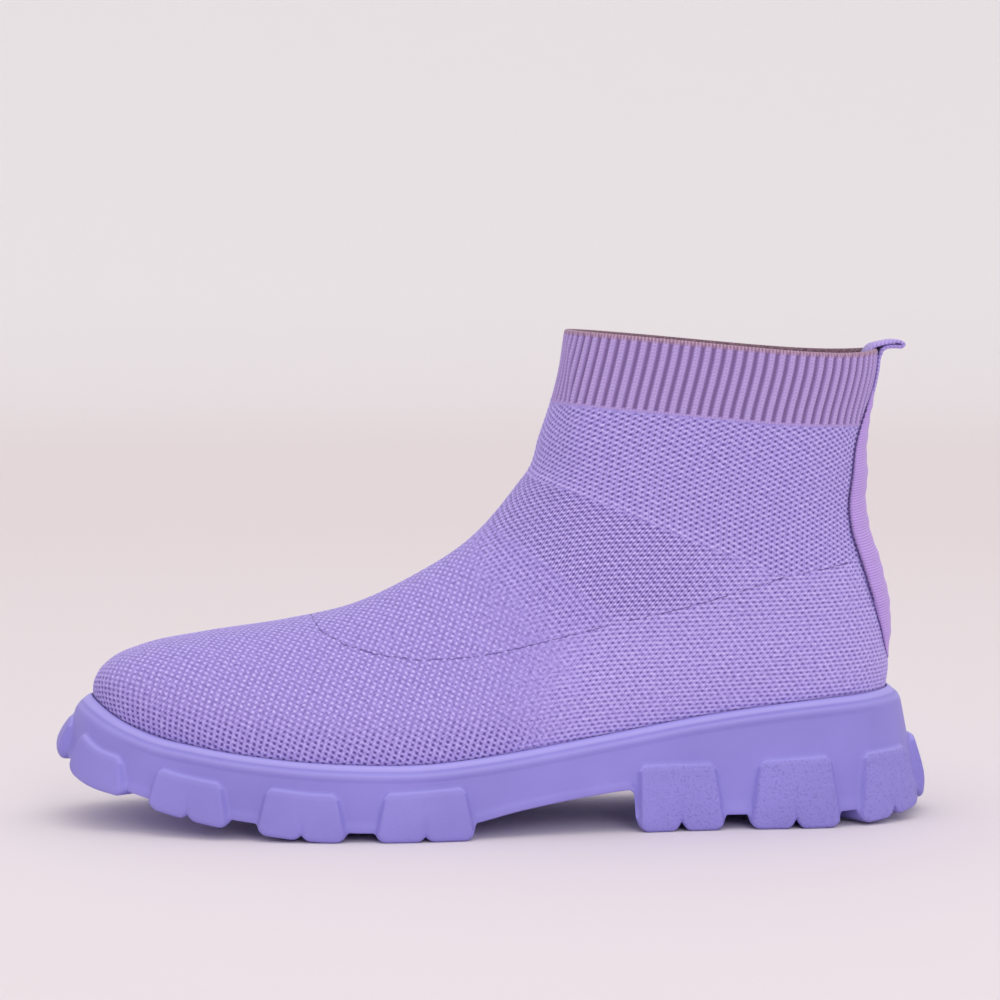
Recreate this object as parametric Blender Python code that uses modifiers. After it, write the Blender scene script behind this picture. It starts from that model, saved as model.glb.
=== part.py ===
"""Slip-on ankle boot for the left foot: a knitted sock upper on a lugged rubber sole.

The toe points along -X, the outer side of the foot faces -Y, and the boot stands on Z = 0.
Sizes are in millimetres until a mesh is made.  A station is a distance along the boot from the front
of the toe lug, and a height is above the floor.  The feather is the line where upper and sole meet,
the ridge is the front edge of the upper seen from the side, and girth is measured along the wall.
"""

from collections import namedtuple

import bpy
import numpy as np

MM = 0.001
SHARP_ANGLE = np.radians(35.0)
OBJECT_NAME = "slip_on_ankle_boot"

# Driving dimensions
BOOT_LENGTH = 280.0
TOE_TIP = 12.0              # station of the feather at the toe
HEEL_END = 267.1            # station of the feather at the heel
GAP = 0.35                  # clearance between neighbouring pieces

# Upper
KNIT_WALL = 2.0
TOE_ROUND = 70.0            # length over which the toe rounds to its full width
TOE_POWER = 2.0
HEEL_ROUND_FOOT = 38.0      # the same at the heel, at the feather and at the collar
HEEL_ROUND_COLLAR = 46.0
HEEL_POWER = 2.1
ANKLE_RISE = 72.0           # height over which the foot turns into the shaft
RIDGE_RUN_ON = 3.8          # slope of the ridge carried on past the collar
RIDGE_LEAN = 4.0            # the ridge of the instep leans to the inner side
BULGE = 1.3                 # fullness just above the sole
BULGE_HEIGHT = 24.0
TUCK = 3.6                  # depth of the edge that sits down in the sole
TUCK_INSET = 0.8
CUFF_FRONT = 132.5          # heights of the cuff's lower line and of the collar
CUFF_BACK = 125.0
COLLAR_FRONT = 155.4
COLLAR_BACK = 148.0
COLLAR_DIP = 1.4            # sag of the collar's side below a straight line
COLLAR_TILT = 0.7           # the inner side of the collar lies this much lower
RIB_COUNT = 72
RIB_DEPTH = 0.9
CUFF_RINGS = ((0.05, 0.5), (0.16, 1.0), (1.0, 1.0))     # share of the cuff's height, share of the rib
BODY_ROWS = 15
TOE_CROWDING = 1.3          # above 1 sets the rows closer together at the toe

# Sole
CUP_DEPTH = 4.0
FACE_LINE = 8.0             # distance of the line that girth is measured on, out from the feather
LUG_PROUD_TOP = 2.0
LUG_PROUD = 3.2             # at the fullest part of the face
LUG_REACH = 24.0            # how far a lug runs in under the sole
LUG_REACH_SHARE = 0.6       # the most that may be of the way to the middle
LUG_INNER_SLOPE = 2.0       # run of the slope at a lug's inner end
LUG_DRAFT = 1.2             # width of a lug's sloping flank
LUG_TAPER = 2.0             # each side of a lug leans in by this much at its top
LUG_CORNER = 2.6            # width and height of the rounded bottom corner
LUG_CORNER_LIFT = 1.6
NOTCH_HALF = 2.3            # the V notch at the middle of a lug
NOTCH_LIFT = 2.0
LUG_BEVEL = 1.5             # slope along a lug's top edge
LUG_FULLEST = 0.42          # share of a lug's height where its face stands furthest out
LUG_ROUND = 1.4             # height and depth of the round under a lug's face
LUG_ROUND_IN = 3.2
PARTING_STEP = 0.5          # the wall between lugs steps out a little near its foot
PARTING_HEIGHT = 2.6
HEEL_SLOT = 4.6             # height of the underside between the heel lugs
TOE_SPINE = 45.0            # the middle line under the sole starts and stops this far from its ends
HEEL_SPINE = 33.0
ARCH_STEPS = 5

# Insole, heel panel and pull loop
INSOLE_INSET = 3.3
INSOLE_THICK = 4.2
INSOLE_TOP = 0.6            # above the feather
INSOLE_COLUMNS = 32
PANEL_THICK = 1.0
PANEL_BULGE = 0.4
PANEL_FOOT = 50.0
PANEL_TOP = 146.0
PANEL_ROWS = 15
PANEL_COLUMNS = 6
LOOP_WIDTH = 12.0
LOOP_THICK = 1.2

# Plan and arch of the foot: half widths each side of the middle line before the ends are rounded,
# and the power of the arch over the section, where 2 is an ellipse and more is squarer
Section = namedtuple("Section", "station lateral medial crown")
FOOT = (
    Section(12.0, 34.0, 46.0, 2.4),
    Section(36.0, 36.0, 45.0, 2.4),
    Section(61.0, 39.5, 42.5, 2.2),
    Section(90.0, 44.0, 41.5, 2.0),
    Section(107.0, 45.0, 40.5, 1.9),
    Section(125.0, 43.5, 38.0, 1.85),
    Section(150.0, 38.5, 33.0, 1.9),
    Section(175.0, 34.0, 30.0, 2.0),
    Section(200.0, 30.8, 28.8, 2.0),
    Section(225.0, 29.5, 29.0, 2.0),
    Section(268.0, 29.0, 29.0, 2.0),
)

Point = namedtuple("Point", "station height")
FEATHER = (
    Point(12.0, 39.5),
    Point(20.0, 34.6),
    Point(30.0, 30.6),
    Point(46.0, 27.4),
    Point(70.0, 24.5),
    Point(95.0, 23.1),
    Point(115.0, 23.1),
    Point(135.0, 24.9),
    Point(170.0, 30.0),
    Point(205.0, 35.6),
    Point(240.0, 39.7),
    Point(268.0, 41.0),
)
RIDGE = (
    Point(12.0, 39.5),
    Point(12.2, 43.2),
    Point(14.0, 47.2),
    Point(18.4, 51.3),
    Point(27.0, 55.2),
    Point(46.0, 59.5),
    Point(74.0, 63.8),
    Point(94.0, 68.0),
    Point(113.0, 76.5),
    Point(132.0, 88.8),
    Point(145.9, 104.7),
    Point(151.9, 112.2),
    Point(154.0, 121.0),
    Point(157.4, 132.5),
    Point(163.5, COLLAR_FRONT),
)
BACK = (
    Point(266.5, 36.0),
    Point(267.1, 41.0),
    Point(267.3, 47.0),
    Point(266.5, 54.0),
    Point(266.1, 62.0),
    Point(265.2, 70.0),
    Point(263.5, 78.0),
    Point(261.4, 85.0),
    Point(259.5, 92.0),
    Point(258.3, 98.0),
    Point(258.2, 110.0),
    Point(257.9, 120.0),
    Point(258.9, 129.0),
    Point(260.6, 136.0),
    Point(261.9, 142.0),
    Point(262.6, 149.0),
)

# Half width of the shaft before its front and back are rounded
Shaft = namedtuple("Shaft", "height half")
SHAFT = (
    Shaft(40.0, 32.0),
    Shaft(70.0, 33.0),
    Shaft(105.0, 32.0),
    Shaft(130.0, 32.5),
    Shaft(156.0, 34.0),
)

# Side of the sole: scale of the welt's ledge, flare of the wall at its foot, top of the lugs,
# height of the lugs' bottoms (toe spring) and height of the underside between them (arch)
Wall = namedtuple("Wall", "station ledge flare lug_top ground base")
WALL = (
    Wall(4.0, 1.50, 9.3, 31.5, 18.8, 21.2),
    Wall(10.0, 1.45, 8.8, 26.4, 13.2, 15.8),
    Wall(22.0, 1.20, 7.0, 22.8, 9.3, 11.8),
    Wall(34.0, 1.10, 6.2, 20.0, 6.2, 9.0),
    Wall(50.0, 1.00, 5.8, 17.9, 3.3, 6.4),
    Wall(66.0, 1.00, 5.5, 16.3, 1.4, 4.7),
    Wall(84.0, 1.00, 5.3, 15.0, 0.0, 3.2),
    Wall(105.0, 1.00, 5.3, 15.3, 0.0, 2.9),
    Wall(124.0, 1.00, 5.2, 16.2, 0.0, 4.0),
    Wall(145.0, 1.00, 5.0, 17.5, 0.0, 8.3),
    Wall(165.0, 1.00, 5.0, 19.5, 0.0, 11.6),
    Wall(180.0, 1.00, 5.2, 20.8, 0.0, 13.3),
    Wall(205.0, 1.00, 5.6, 21.0, 0.0, 13.3),
    Wall(242.0, 1.05, 6.6, 22.5, 0.0, 13.3),
    Wall(262.0, 1.10, 8.2, 23.6, 0.0, 13.3),
    Wall(275.0, 1.15, 10.2, 24.3, 0.0, 13.3),
)

# Steps of the welt from the wall up to the rim and down to the floor of the cup:
# distance out from the feather and height against it
Step = namedtuple("Step", "out rise scaled")
WELT = (
    Step(3.9, -5.0, True),
    Step(4.4, -3.4, True),
    Step(3.7, -2.1, True),
    Step(2.9, -1.7, True),
    Step(2.6, -0.7, True),
    Step(GAP, 0.0, False),
    Step(GAP, -CUP_DEPTH, False),
)

# Lugs down each side, by girth from the toe; the toe and rear lugs are shared by both sides
Lug = namedtuple("Lug", "name start end")
LUGS = (
    Lug("toe_corner", 16.5, 38.5),
    Lug("fore_tread", 47.0, 74.6),
    Lug("ball_front", 83.5, 111.8),
    Lug("ball_back", 120.6, 151.9),
    Lug("heel_front", 204.6, 231.8),
    Lug("heel_middle", 241.1, 268.4),
    Lug("heel_corner", 277.0, 302.0),
)
TOE_LUG_HALF = 9.0
REAR_LUG_HALF = 9.0
HEEL_BREAST = LUGS[4].start

# Heel panel: how far forward of the back line its edge runs
Panel = namedtuple("Panel", "height reach")
HEEL_PANEL = (
    Panel(50.0, 1.0),
    Panel(54.0, 2.4),
    Panel(62.0, 4.6),
    Panel(72.0, 6.8),
    Panel(84.0, 7.6),
    Panel(98.0, 7.2),
    Panel(108.0, 6.4),
    Panel(120.0, 4.4),
    Panel(133.0, 2.8),
    Panel(147.0, 1.8),
)

# Middle line of the pull loop's tape, from inside the collar, over its edge and back to the outside
LOOP_PATH = (
    Point(256.3, 141.0),
    Point(256.5, 146.4),
    Point(258.0, 149.3),
    Point(261.2, 149.8),
    Point(264.4, 150.6),
    Point(268.2, 151.5),
    Point(271.2, 151.2),
    Point(272.4, 150.3),
    Point(271.2, 149.3),
    Point(268.0, 149.1),
    Point(265.8, 148.6),
    Point(264.4, 147.6),
    Point(263.9, 146.5),
)
LOOP_SAMPLES = 36


def column(table, name):
    return np.array([getattr(row, name) for row in table], float)


def smooth(knots, values, at):
    """Smooth curve through the knots, held level past both ends."""
    slopes = np.gradient(values, knots)
    at = np.clip(at, knots[0], knots[-1])
    i = np.clip(np.searchsorted(knots, at) - 1, 0, len(knots) - 2)
    span = knots[i + 1] - knots[i]
    t = (at - knots[i]) / span
    start = values[i] * (1 + 2 * t) * (1 - t) ** 2 + span * slopes[i] * t * (1 - t) ** 2
    end = values[i + 1] * t * t * (3 - 2 * t) + span * slopes[i + 1] * t * t * (t - 1)
    return start + end


def read(table, key, name, at):
    return smooth(column(table, key), column(table, name), at)


def curve_through(points, samples):
    """Stations, heights and shares of length along a smooth curve through a table of points."""
    station, height = column(points, "station"), column(points, "height")
    chord = np.concatenate([[0.0], np.cumsum(np.hypot(np.diff(station), np.diff(height)))])
    share = np.linspace(0.0, 1.0, samples)
    s = smooth(chord, station, share * chord[-1])
    z = smooth(chord, height, share * chord[-1])
    return s, z, share


RIDGE_STATION, RIDGE_HEIGHT, RIDGE_SHARE = curve_through(RIDGE, 800)


def swell(t):
    """Eases from 0 to 1 as t runs from 0 to 1."""
    t = np.clip(t, 0.0, 1.0)
    return t * t * (3.0 - 2.0 * t)


def rounded(distance, length, power):
    """Quarter of a superellipse: 0 at the end of the form, 1 from `length` onwards."""
    t = np.clip(distance / length, 0.0, 1.0)
    return (1.0 - (1.0 - t) ** power) ** (1.0 / power)


def feather_height(station):
    return read(FEATHER, "station", "height", station)


def ridge_height(station):
    past_collar = np.maximum(station - RIDGE_STATION[-1], 0.0)
    return np.interp(station, RIDGE_STATION, RIDGE_HEIGHT) + RIDGE_RUN_ON * past_collar


def back_station(height):
    return read(BACK, "height", "station", height)


def foot_half(station):
    wide = read(FOOT, "station", "lateral", station) + read(FOOT, "station", "medial", station)
    return wide / 2 * rounded(station - TOE_TIP, TOE_ROUND, TOE_POWER)


def foot_centre(station):
    return (read(FOOT, "station", "medial", station) - read(FOOT, "station", "lateral", station)) / 2


def upper_section(station, height):
    """Middle and half width of the upper's outside at a station and height."""
    above = height - feather_height(station)
    rise = np.clip(above / np.maximum(ridge_height(station) - feather_height(station), 0.01), 0.0, 1.0)
    crown = read(FOOT, "station", "crown", station)
    arch = (1.0 - rise ** crown) ** (1.0 / crown)
    climb = swell(above / ANKLE_RISE)
    half = foot_half(station) * (1 - climb) + read(SHAFT, "height", "half", height) * climb
    bulge = BULGE * np.sin(np.pi * np.clip(above / BULGE_HEIGHT, 0.0, 1.0))
    heel_foot = feather_height(HEEL_END)
    level = np.clip((height - heel_foot) / (COLLAR_BACK - heel_foot), 0.0, 1.0)
    heel_round = HEEL_ROUND_FOOT + (HEEL_ROUND_COLLAR - HEEL_ROUND_FOOT) * level
    heel = rounded(back_station(height) - station, heel_round, HEEL_POWER)
    centre = (foot_centre(station) * (1 - rise) + RIDGE_LEAN * rise) * (1 - climb)
    return centre, (half + bulge) * arch * heel


def upper_ring(front, back, level, count):
    """One ring of the upper, from the front round the outer side to the back and home again.

    `level` runs from 0, where the ring follows the feather, to 1, where it is straight from the side.
    """
    turn = 2 * np.pi * np.arange(count) / count
    along = (1 - np.cos(turn)) / 2
    station = front.station + (back.station - front.station) * along
    straight = front.height + (back.height - front.height) * along
    ends = feather_height(front.station) * (1 - along) + feather_height(back.station) * along
    height = straight + (1 - level) * (feather_height(station) - ends)
    height = height - COLLAR_DIP * level * np.sin(np.pi * along ** 2)
    height = height + COLLAR_TILT * level * np.minimum(np.sin(turn), 0.0)
    centre, half = upper_section(station, height)
    half[[0, count // 2]] = 0.0
    side = np.where(turn <= np.pi, -1.0, 1.0)
    return np.stack([station, centre + side * half, height], axis=1)


def pushed_out(ring, distance):
    """A ring moved along its own outward normals in plan."""
    run = np.roll(ring, -1, axis=0) - np.roll(ring, 1, axis=0)
    normal = np.stack([run[:, 1], -run[:, 0], np.zeros(len(run))], axis=1)
    normal = normal / np.linalg.norm(normal, axis=1, keepdims=True)
    return ring + normal * np.reshape(distance, (-1, 1))


def body_ring(level):
    cuff_share = np.interp(CUFF_FRONT, RIDGE_HEIGHT, RIDGE_SHARE)
    share = cuff_share * level ** TOE_CROWDING
    front = Point(np.interp(share, RIDGE_SHARE, RIDGE_STATION), np.interp(share, RIDGE_SHARE, RIDGE_HEIGHT))
    foot = float(feather_height(HEEL_END))
    height = foot + (CUFF_BACK - foot) * level
    return upper_ring(front, Point(float(back_station(height)), height), level, RIB_COUNT)


def cuff_ring(share, depth):
    """A ring of the cuff with its ribs: every second point sinks by the depth of the valleys."""
    height = CUFF_FRONT + (COLLAR_FRONT - CUFF_FRONT) * share
    front = Point(np.interp(height, RIDGE_HEIGHT, RIDGE_STATION), height)
    height = CUFF_BACK + (COLLAR_BACK - CUFF_BACK) * share
    ring = upper_ring(front, Point(float(back_station(height)), height), 1.0, 2 * RIB_COUNT)
    valley = np.arange(2 * RIB_COUNT) % 2 == 0
    return pushed_out(ring, np.where(valley, -depth, 0.0))


def ring_faces(rows, count, first=0):
    """Quads between neighbouring rings of equal count."""
    faces = []
    for row in range(rows - 1):
        for i in range(count):
            j = (i + 1) % count
            low, high = first + row * count, first + (row + 1) * count
            faces.append((low + i, low + j, high + j, high + i))
    return faces


def strip_faces(rows, count):
    """Quads of an open grid of rows."""
    faces = []
    for row in range(rows - 1):
        for i in range(count - 1):
            low, high = row * count + i, (row + 1) * count + i
            faces.append((low, low + 1, high + 1, high))
    return faces


def sewn_faces(low, high, count):
    """Joins a ring of `count` points to a ring above it of twice as many."""
    faces = []
    for i in range(count):
        j = (i + 1) % count
        left, middle, right = high + 2 * i, high + 2 * i + 1, high + 2 * j
        faces += [(low + i, low + j, middle), (low + i, middle, left), (low + j, right, middle)]
    return faces


def across_faces(count, first, upward):
    """Fills a ring whose two sides match point for point, toe at 0 and heel at half of `count`."""
    half = count // 2
    faces = []
    for i in range(half):
        near = [first + i, first + i + 1]
        far = [first + (count - i - 1) % count, first + (count - i) % count]
        face = list(dict.fromkeys(near + far))
        faces.append(face if upward else face[::-1])
    return faces


def plain_material(name, colour, roughness):
    material = bpy.data.materials.new(name)
    material.use_nodes = True
    shader = material.node_tree.nodes["Principled BSDF"]
    shader.inputs["Base Color"].default_value = (*colour, 1.0)
    shader.inputs["Roughness"].default_value = roughness
    shader.inputs["Metallic"].default_value = 0.0
    return material


def plan_shift():
    """Sideways move that puts the middle of the sole's full width on Y = 0."""
    widest = [sole_edge(side, FACE_LINE)[:, 1] for side in (-1, 1)]
    return -(min(widest[0]) + max(widest[1])) / 2


def add_object(name, points, faces, material, collection):
    points = np.array(points) - (BOOT_LENGTH / 2, -plan_shift(), 0.0)
    mesh = bpy.data.meshes.new(name)
    mesh.from_pydata((points * MM).tolist(), [], faces)
    mesh.materials.append(material)
    mesh.shade_smooth()
    mesh.set_sharp_from_angle(angle=SHARP_ANGLE)
    obj = bpy.data.objects.new(name, mesh)
    collection.objects.link(obj)
    return obj


def add_wall(obj, thickness, offset):
    wall = obj.modifiers.new("wall", "SOLIDIFY")
    wall.thickness = thickness * MM
    wall.offset = offset
    wall.use_even_offset = True


def build_upper(material, collection):
    """Knitted sock: a tucked edge, the body and the ribbed cuff, open above and below."""
    levels = np.arange(BODY_ROWS + 1) / BODY_ROWS
    body = [body_ring(level) for level in levels]
    tuck = pushed_out(body[0], -TUCK_INSET) - (0.0, 0.0, TUCK)
    cuff = [cuff_ring(share, RIB_DEPTH * depth) for share, depth in CUFF_RINGS]
    rings = [tuck] + body
    count = RIB_COUNT
    faces = ring_faces(len(rings), count)
    seam = (len(rings) - 1) * count
    faces += sewn_faces(seam, seam + count, count)
    faces += ring_faces(len(cuff), 2 * count, seam + count)
    upper = add_object("upper", np.concatenate(rings + cuff), faces, material, collection)
    add_wall(upper, KNIT_WALL, -1.0)


def sole_edge(side, out):
    """The feather's outline down one side, moved out in plan, with its girth as a fourth column."""
    turn = np.linspace(0.0, np.pi, 3000)
    station = (TOE_TIP + HEEL_END) / 2 - (HEEL_END - TOE_TIP) / 2 * np.cos(turn)
    half = foot_half(station) * rounded(HEEL_END - station, HEEL_ROUND_FOOT, HEEL_POWER)
    y = foot_centre(station) + side * half
    run = np.stack([np.gradient(station), np.gradient(y)], axis=1)
    run = run / np.linalg.norm(run, axis=1, keepdims=True)
    normal = np.stack([run[:, 1], -run[:, 0]], axis=1) * -side
    face = np.stack([station, y], axis=1) + normal * FACE_LINE
    girth = np.concatenate([[0.0], np.cumsum(np.linalg.norm(np.diff(face, axis=0), axis=1))])
    edge = np.stack([station, y], axis=1) + normal * out
    return np.column_stack([edge, station, girth])


# A line of points up the sole's side: its girth, whether it runs over a lug, how far its foot is lifted
# off the ground, and how far it leans along the wall at the lug's top
Upright = namedtuple("Upright", "girth lug lift lean")


def lug_columns(lug):
    """Uprights of the sole's side across one lug, flank to flank, with the notch at its middle."""
    middle = (lug.start + lug.end) / 2
    return [
        Upright(lug.start - LUG_DRAFT, False, 0.0, LUG_TAPER),
        Upright(lug.start, True, LUG_CORNER_LIFT, LUG_TAPER),
        Upright(lug.start + LUG_CORNER, True, 0.0, LUG_TAPER),
        Upright(middle - NOTCH_HALF, True, 0.0, 0.0),
        Upright(middle, True, NOTCH_LIFT, 0.0),
        Upright(middle + NOTCH_HALF, True, 0.0, 0.0),
        Upright(lug.end - LUG_CORNER, True, 0.0, -LUG_TAPER),
        Upright(lug.end, True, LUG_CORNER_LIFT, -LUG_TAPER),
        Upright(lug.end + LUG_DRAFT, False, 0.0, -LUG_TAPER),
    ]


def side_columns(length):
    """All uprights down one side, from the middle of the toe lug to the middle of the rear lug."""
    toe = lug_columns(Lug("toe", -TOE_LUG_HALF, TOE_LUG_HALF))[4:]
    rear = lug_columns(Lug("rear", length - REAR_LUG_HALF, length + REAR_LUG_HALF))[:5]
    columns = toe
    for lug in LUGS:
        if lug.start == HEEL_BREAST:
            start = columns[-1].girth
            stop = HEEL_BREAST - LUG_DRAFT
            for i in range(1, ARCH_STEPS + 1):
                columns.append(Upright(start + (stop - start) * i / (ARCH_STEPS + 1), False, 0.0, 0.0))
        columns += lug_columns(lug)
    return columns + rear


def sole_column(upright, feather_edge, face_edge, girth_scale):
    """Points up one line: from the middle of the underside, round the lug, to the floor of the cup."""

    def place(out, lean_share):
        """Plan position at a distance out from the feather, with the stations of feather and face line."""
        girth = (upright.girth + upright.lean * lean_share) * girth_scale
        x, y, station = [np.interp(girth, feather_edge[:, 3], feather_edge[:, i]) for i in range(3)]
        face_x, face_y = [np.interp(girth, face_edge[:, 3], face_edge[:, i]) for i in range(2)]
        share = out / FACE_LINE
        return (x + (face_x - x) * share, y + (face_y - y) * share), station, face_x

    _, station, face_station = place(0.0, 0.0)
    feather = float(feather_height(station))
    row = {name: float(read(WALL, "station", name, face_station)) for name in Wall._fields[1:]}
    heel = upright.girth >= HEEL_BREAST
    base = HEEL_SLOT if heel else row["base"]
    ground = max(row["ground"], 0.0) + upright.lift
    fullest = ground + LUG_FULLEST * (row["lug_top"] - ground)
    wall_top = feather + WELT[0].rise

    def wall_out(height):
        drop = (wall_top - height) / (wall_top - base)
        top = WELT[0].out * row["ledge"]
        return top + (row["flare"] - top) * drop

    if upright.lug:
        profile = [
            (wall_out(ground) + LUG_PROUD - LUG_ROUND_IN, ground, 0.0),
            (wall_out(ground) + LUG_PROUD - LUG_ROUND, ground + LUG_ROUND, 0.0),
            (wall_out(fullest) + LUG_PROUD, fullest, LUG_FULLEST),
            (wall_out(row["lug_top"]) + LUG_PROUD_TOP, row["lug_top"] - LUG_BEVEL, 1.0),
            (wall_out(row["lug_top"]), row["lug_top"], 1.0),
        ]
    else:
        profile = [
            (wall_out(base) - PARTING_STEP, base, 0.0),
            (wall_out(base) + PARTING_STEP, base + PARTING_STEP, 0.0),
            (wall_out(base) + PARTING_STEP, base + PARTING_HEIGHT - PARTING_STEP, 0.1),
            (wall_out(base + PARTING_HEIGHT), base + PARTING_HEIGHT, 0.1),
            (wall_out(row["lug_top"]), row["lug_top"], 1.0),
        ]
    for step in WELT:
        out = step.out * (row["ledge"] if step.scaled else 1.0)
        profile.append((out, feather + step.rise, 0.0))

    points = [(*place(out, lean)[0], height) for out, height, lean in profile]
    outer = np.array(points[0])
    middle = np.clip(station, TOE_TIP + TOE_SPINE, HEEL_END - HEEL_SPINE)
    spine = np.array([middle, float(foot_centre(middle)), 0.0])
    distance = np.linalg.norm(outer[:2] - spine[:2])
    reach = min(LUG_REACH, distance * LUG_REACH_SHARE)
    inner = []
    for run_in, height in ((reach + LUG_INNER_SLOPE, base), (reach, ground if upright.lug else base)):
        spot = outer + (spine - outer) * run_in / distance
        inner.append((spot[0], spot[1], height))
    return inner + points


def build_sole(material, collection):
    """Moulded sole unit: one closed loft whose columns run up each side and meet in pairs."""
    sides = []
    lateral_length = sole_edge(-1, 0.0)[-1, 3]
    uprights = side_columns(lateral_length)
    for side in (-1, 1):
        feather_edge, face_edge = sole_edge(side, 0.0), sole_edge(side, FACE_LINE)
        scale = feather_edge[-1, 3] / lateral_length
        sides.append([sole_column(upright, feather_edge, face_edge, scale) for upright in uprights])
    lateral, medial = sides
    columns = lateral + medial[-2:0:-1]
    count = len(columns)
    rows = len(columns[0])
    points = np.array(columns).transpose(1, 0, 2).reshape(-1, 3)
    faces = ring_faces(rows, count)
    faces += across_faces(count, 0, False)
    faces += across_faces(count, (rows - 1) * count, True)
    add_object("sole", points, faces, material, collection)


def build_insole(material, collection):
    """Loose pad in the cup of the sole."""
    share = (1 - np.cos(np.linspace(0.0, np.pi, INSOLE_COLUMNS))) / 2
    rows = []
    for side in (-1, 1):
        edge = sole_edge(side, -INSOLE_INSET)
        girth = edge[:, 3] / edge[-1, 3]
        station = np.interp(share, girth, edge[:, 0])
        height = feather_height(np.interp(share, girth, edge[:, 2])) + INSOLE_TOP
        rows.append(np.stack([station, np.interp(share, girth, edge[:, 1]), height], axis=1))
    top = np.concatenate([rows[0], rows[1][-2:0:-1]])
    bottom = top - (0.0, 0.0, INSOLE_THICK)
    count = len(top)
    faces = ring_faces(2, count) + across_faces(count, 0, False) + across_faces(count, count, True)
    add_object("insole", np.concatenate([bottom, top]), faces, material, collection)


def build_heel_panel(material, collection):
    """Ribbed panel stitched over the back seam, following the upper's own surface."""
    across = np.linspace(1.0, -1.0, PANEL_COLUMNS + 1)
    rows = []
    for height in np.linspace(PANEL_FOOT, PANEL_TOP, PANEL_ROWS + 1):
        reach = float(read(HEEL_PANEL, "height", "reach", height))
        station = float(back_station(height)) - reach * across ** 2
        _, half = upper_section(station, np.full_like(station, height))
        y = half * -np.sign(across)
        run = np.stack([np.gradient(station), np.gradient(y)], axis=1)
        run = run / np.linalg.norm(run, axis=1, keepdims=True)
        out = GAP + PANEL_BULGE * (1 - across ** 2)
        x, y = station + run[:, 1] * out, y - run[:, 0] * out
        rows.append(np.stack([x, y, np.full_like(y, height)], axis=1))
    faces = strip_faces(len(rows), PANEL_COLUMNS + 1)
    panel = add_object("heel_panel", np.concatenate(rows), faces, material, collection)
    add_wall(panel, PANEL_THICK, 1.0)


def build_pull_loop(material, collection):
    """Flat tape folded over the back of the collar."""
    station, height, _ = curve_through(LOOP_PATH, LOOP_SAMPLES)
    rows = []
    for y in (LOOP_WIDTH / 2, -LOOP_WIDTH / 2):
        rows.append(np.stack([station, np.full_like(station, y), height], axis=1))
    loop = add_object("pull_loop", np.concatenate(rows), strip_faces(2, LOOP_SAMPLES), material, collection)
    add_wall(loop, LOOP_THICK, 0.0)


def main():
    for obj in list(bpy.data.objects):
        bpy.data.objects.remove(obj, do_unlink=True)
    collection = bpy.data.collections.new(OBJECT_NAME)
    bpy.context.scene.collection.children.link(collection)
    build_sole(plain_material("lilac_rubber", (0.30, 0.25, 0.62), 0.55), collection)
    build_upper(plain_material("lilac_knit", (0.40, 0.32, 0.66), 0.85), collection)
    build_insole(plain_material("taupe_foam", (0.28, 0.22, 0.26), 0.9), collection)
    build_heel_panel(plain_material("ribbed_elastic", (0.38, 0.30, 0.58), 0.75), collection)
    build_pull_loop(plain_material("woven_tape", (0.42, 0.35, 0.68), 0.7), collection)


main()
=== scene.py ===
import math

import bpy
import numpy as np
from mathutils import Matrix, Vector

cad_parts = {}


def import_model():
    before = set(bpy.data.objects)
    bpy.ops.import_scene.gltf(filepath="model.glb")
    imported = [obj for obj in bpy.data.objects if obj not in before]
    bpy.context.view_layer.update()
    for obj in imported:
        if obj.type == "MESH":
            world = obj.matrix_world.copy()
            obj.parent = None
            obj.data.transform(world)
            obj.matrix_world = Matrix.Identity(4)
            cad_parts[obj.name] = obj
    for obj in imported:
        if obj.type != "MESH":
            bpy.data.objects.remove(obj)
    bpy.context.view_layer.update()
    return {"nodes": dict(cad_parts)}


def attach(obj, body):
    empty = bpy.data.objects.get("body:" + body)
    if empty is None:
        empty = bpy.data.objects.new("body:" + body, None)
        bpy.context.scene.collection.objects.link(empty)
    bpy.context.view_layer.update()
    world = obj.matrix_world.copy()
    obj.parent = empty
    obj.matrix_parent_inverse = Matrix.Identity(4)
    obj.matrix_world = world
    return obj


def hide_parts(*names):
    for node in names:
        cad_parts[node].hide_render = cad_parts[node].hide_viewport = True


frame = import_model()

mm = 0.001
print("frame loaded:", ", ".join(sorted(frame["nodes"])))

# The boot's own shape in millimetres: stations run back from the front of the toe lug, heights up from the
# floor.  The feather is the line where knit and sole meet, the ridge the front edge seen from the side.
last = {
    "length": 280.0,
    "toeTip": 12.0,
    "heelEnd": 267.1,
    "toeRound": 70.0,
    "heelRoundFoot": 38.0,
    "heelRoundCollar": 46.0,
    "heelPower": 2.1,
    "ankleRise": 72.0,
    "ridgeRunOn": 3.8,
    "ridgeLean": 4.0,
    "bulge": 1.3,
    "bulgeHeight": 24.0,
    "cuffFront": 132.5,
    "cuffBack": 125.0,
    "collarFront": 155.4,
    "collarBack": 148.0,
    "collarDip": 1.0,
    "collarTilt": 0.1,
    "toeCrowding": 1.3,
    "wall": 2.0,
    "gap": 0.35,
}

# station, outer half width, inner half width, power of the arch
footTable = np.array([
    (12, 34, 46, 2.4), (36, 36, 45, 2.4), (61, 39.5, 42.5, 2.2), (90, 44, 41.5, 2.0), (107, 45, 40.5, 1.9),
    (125, 43.5, 38, 1.85), (150, 38.5, 33, 1.9), (175, 34, 30, 2.0), (200, 30.8, 28.8, 2.0),
    (225, 29.5, 29, 2.0), (268, 29, 29, 2.0),
])
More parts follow.
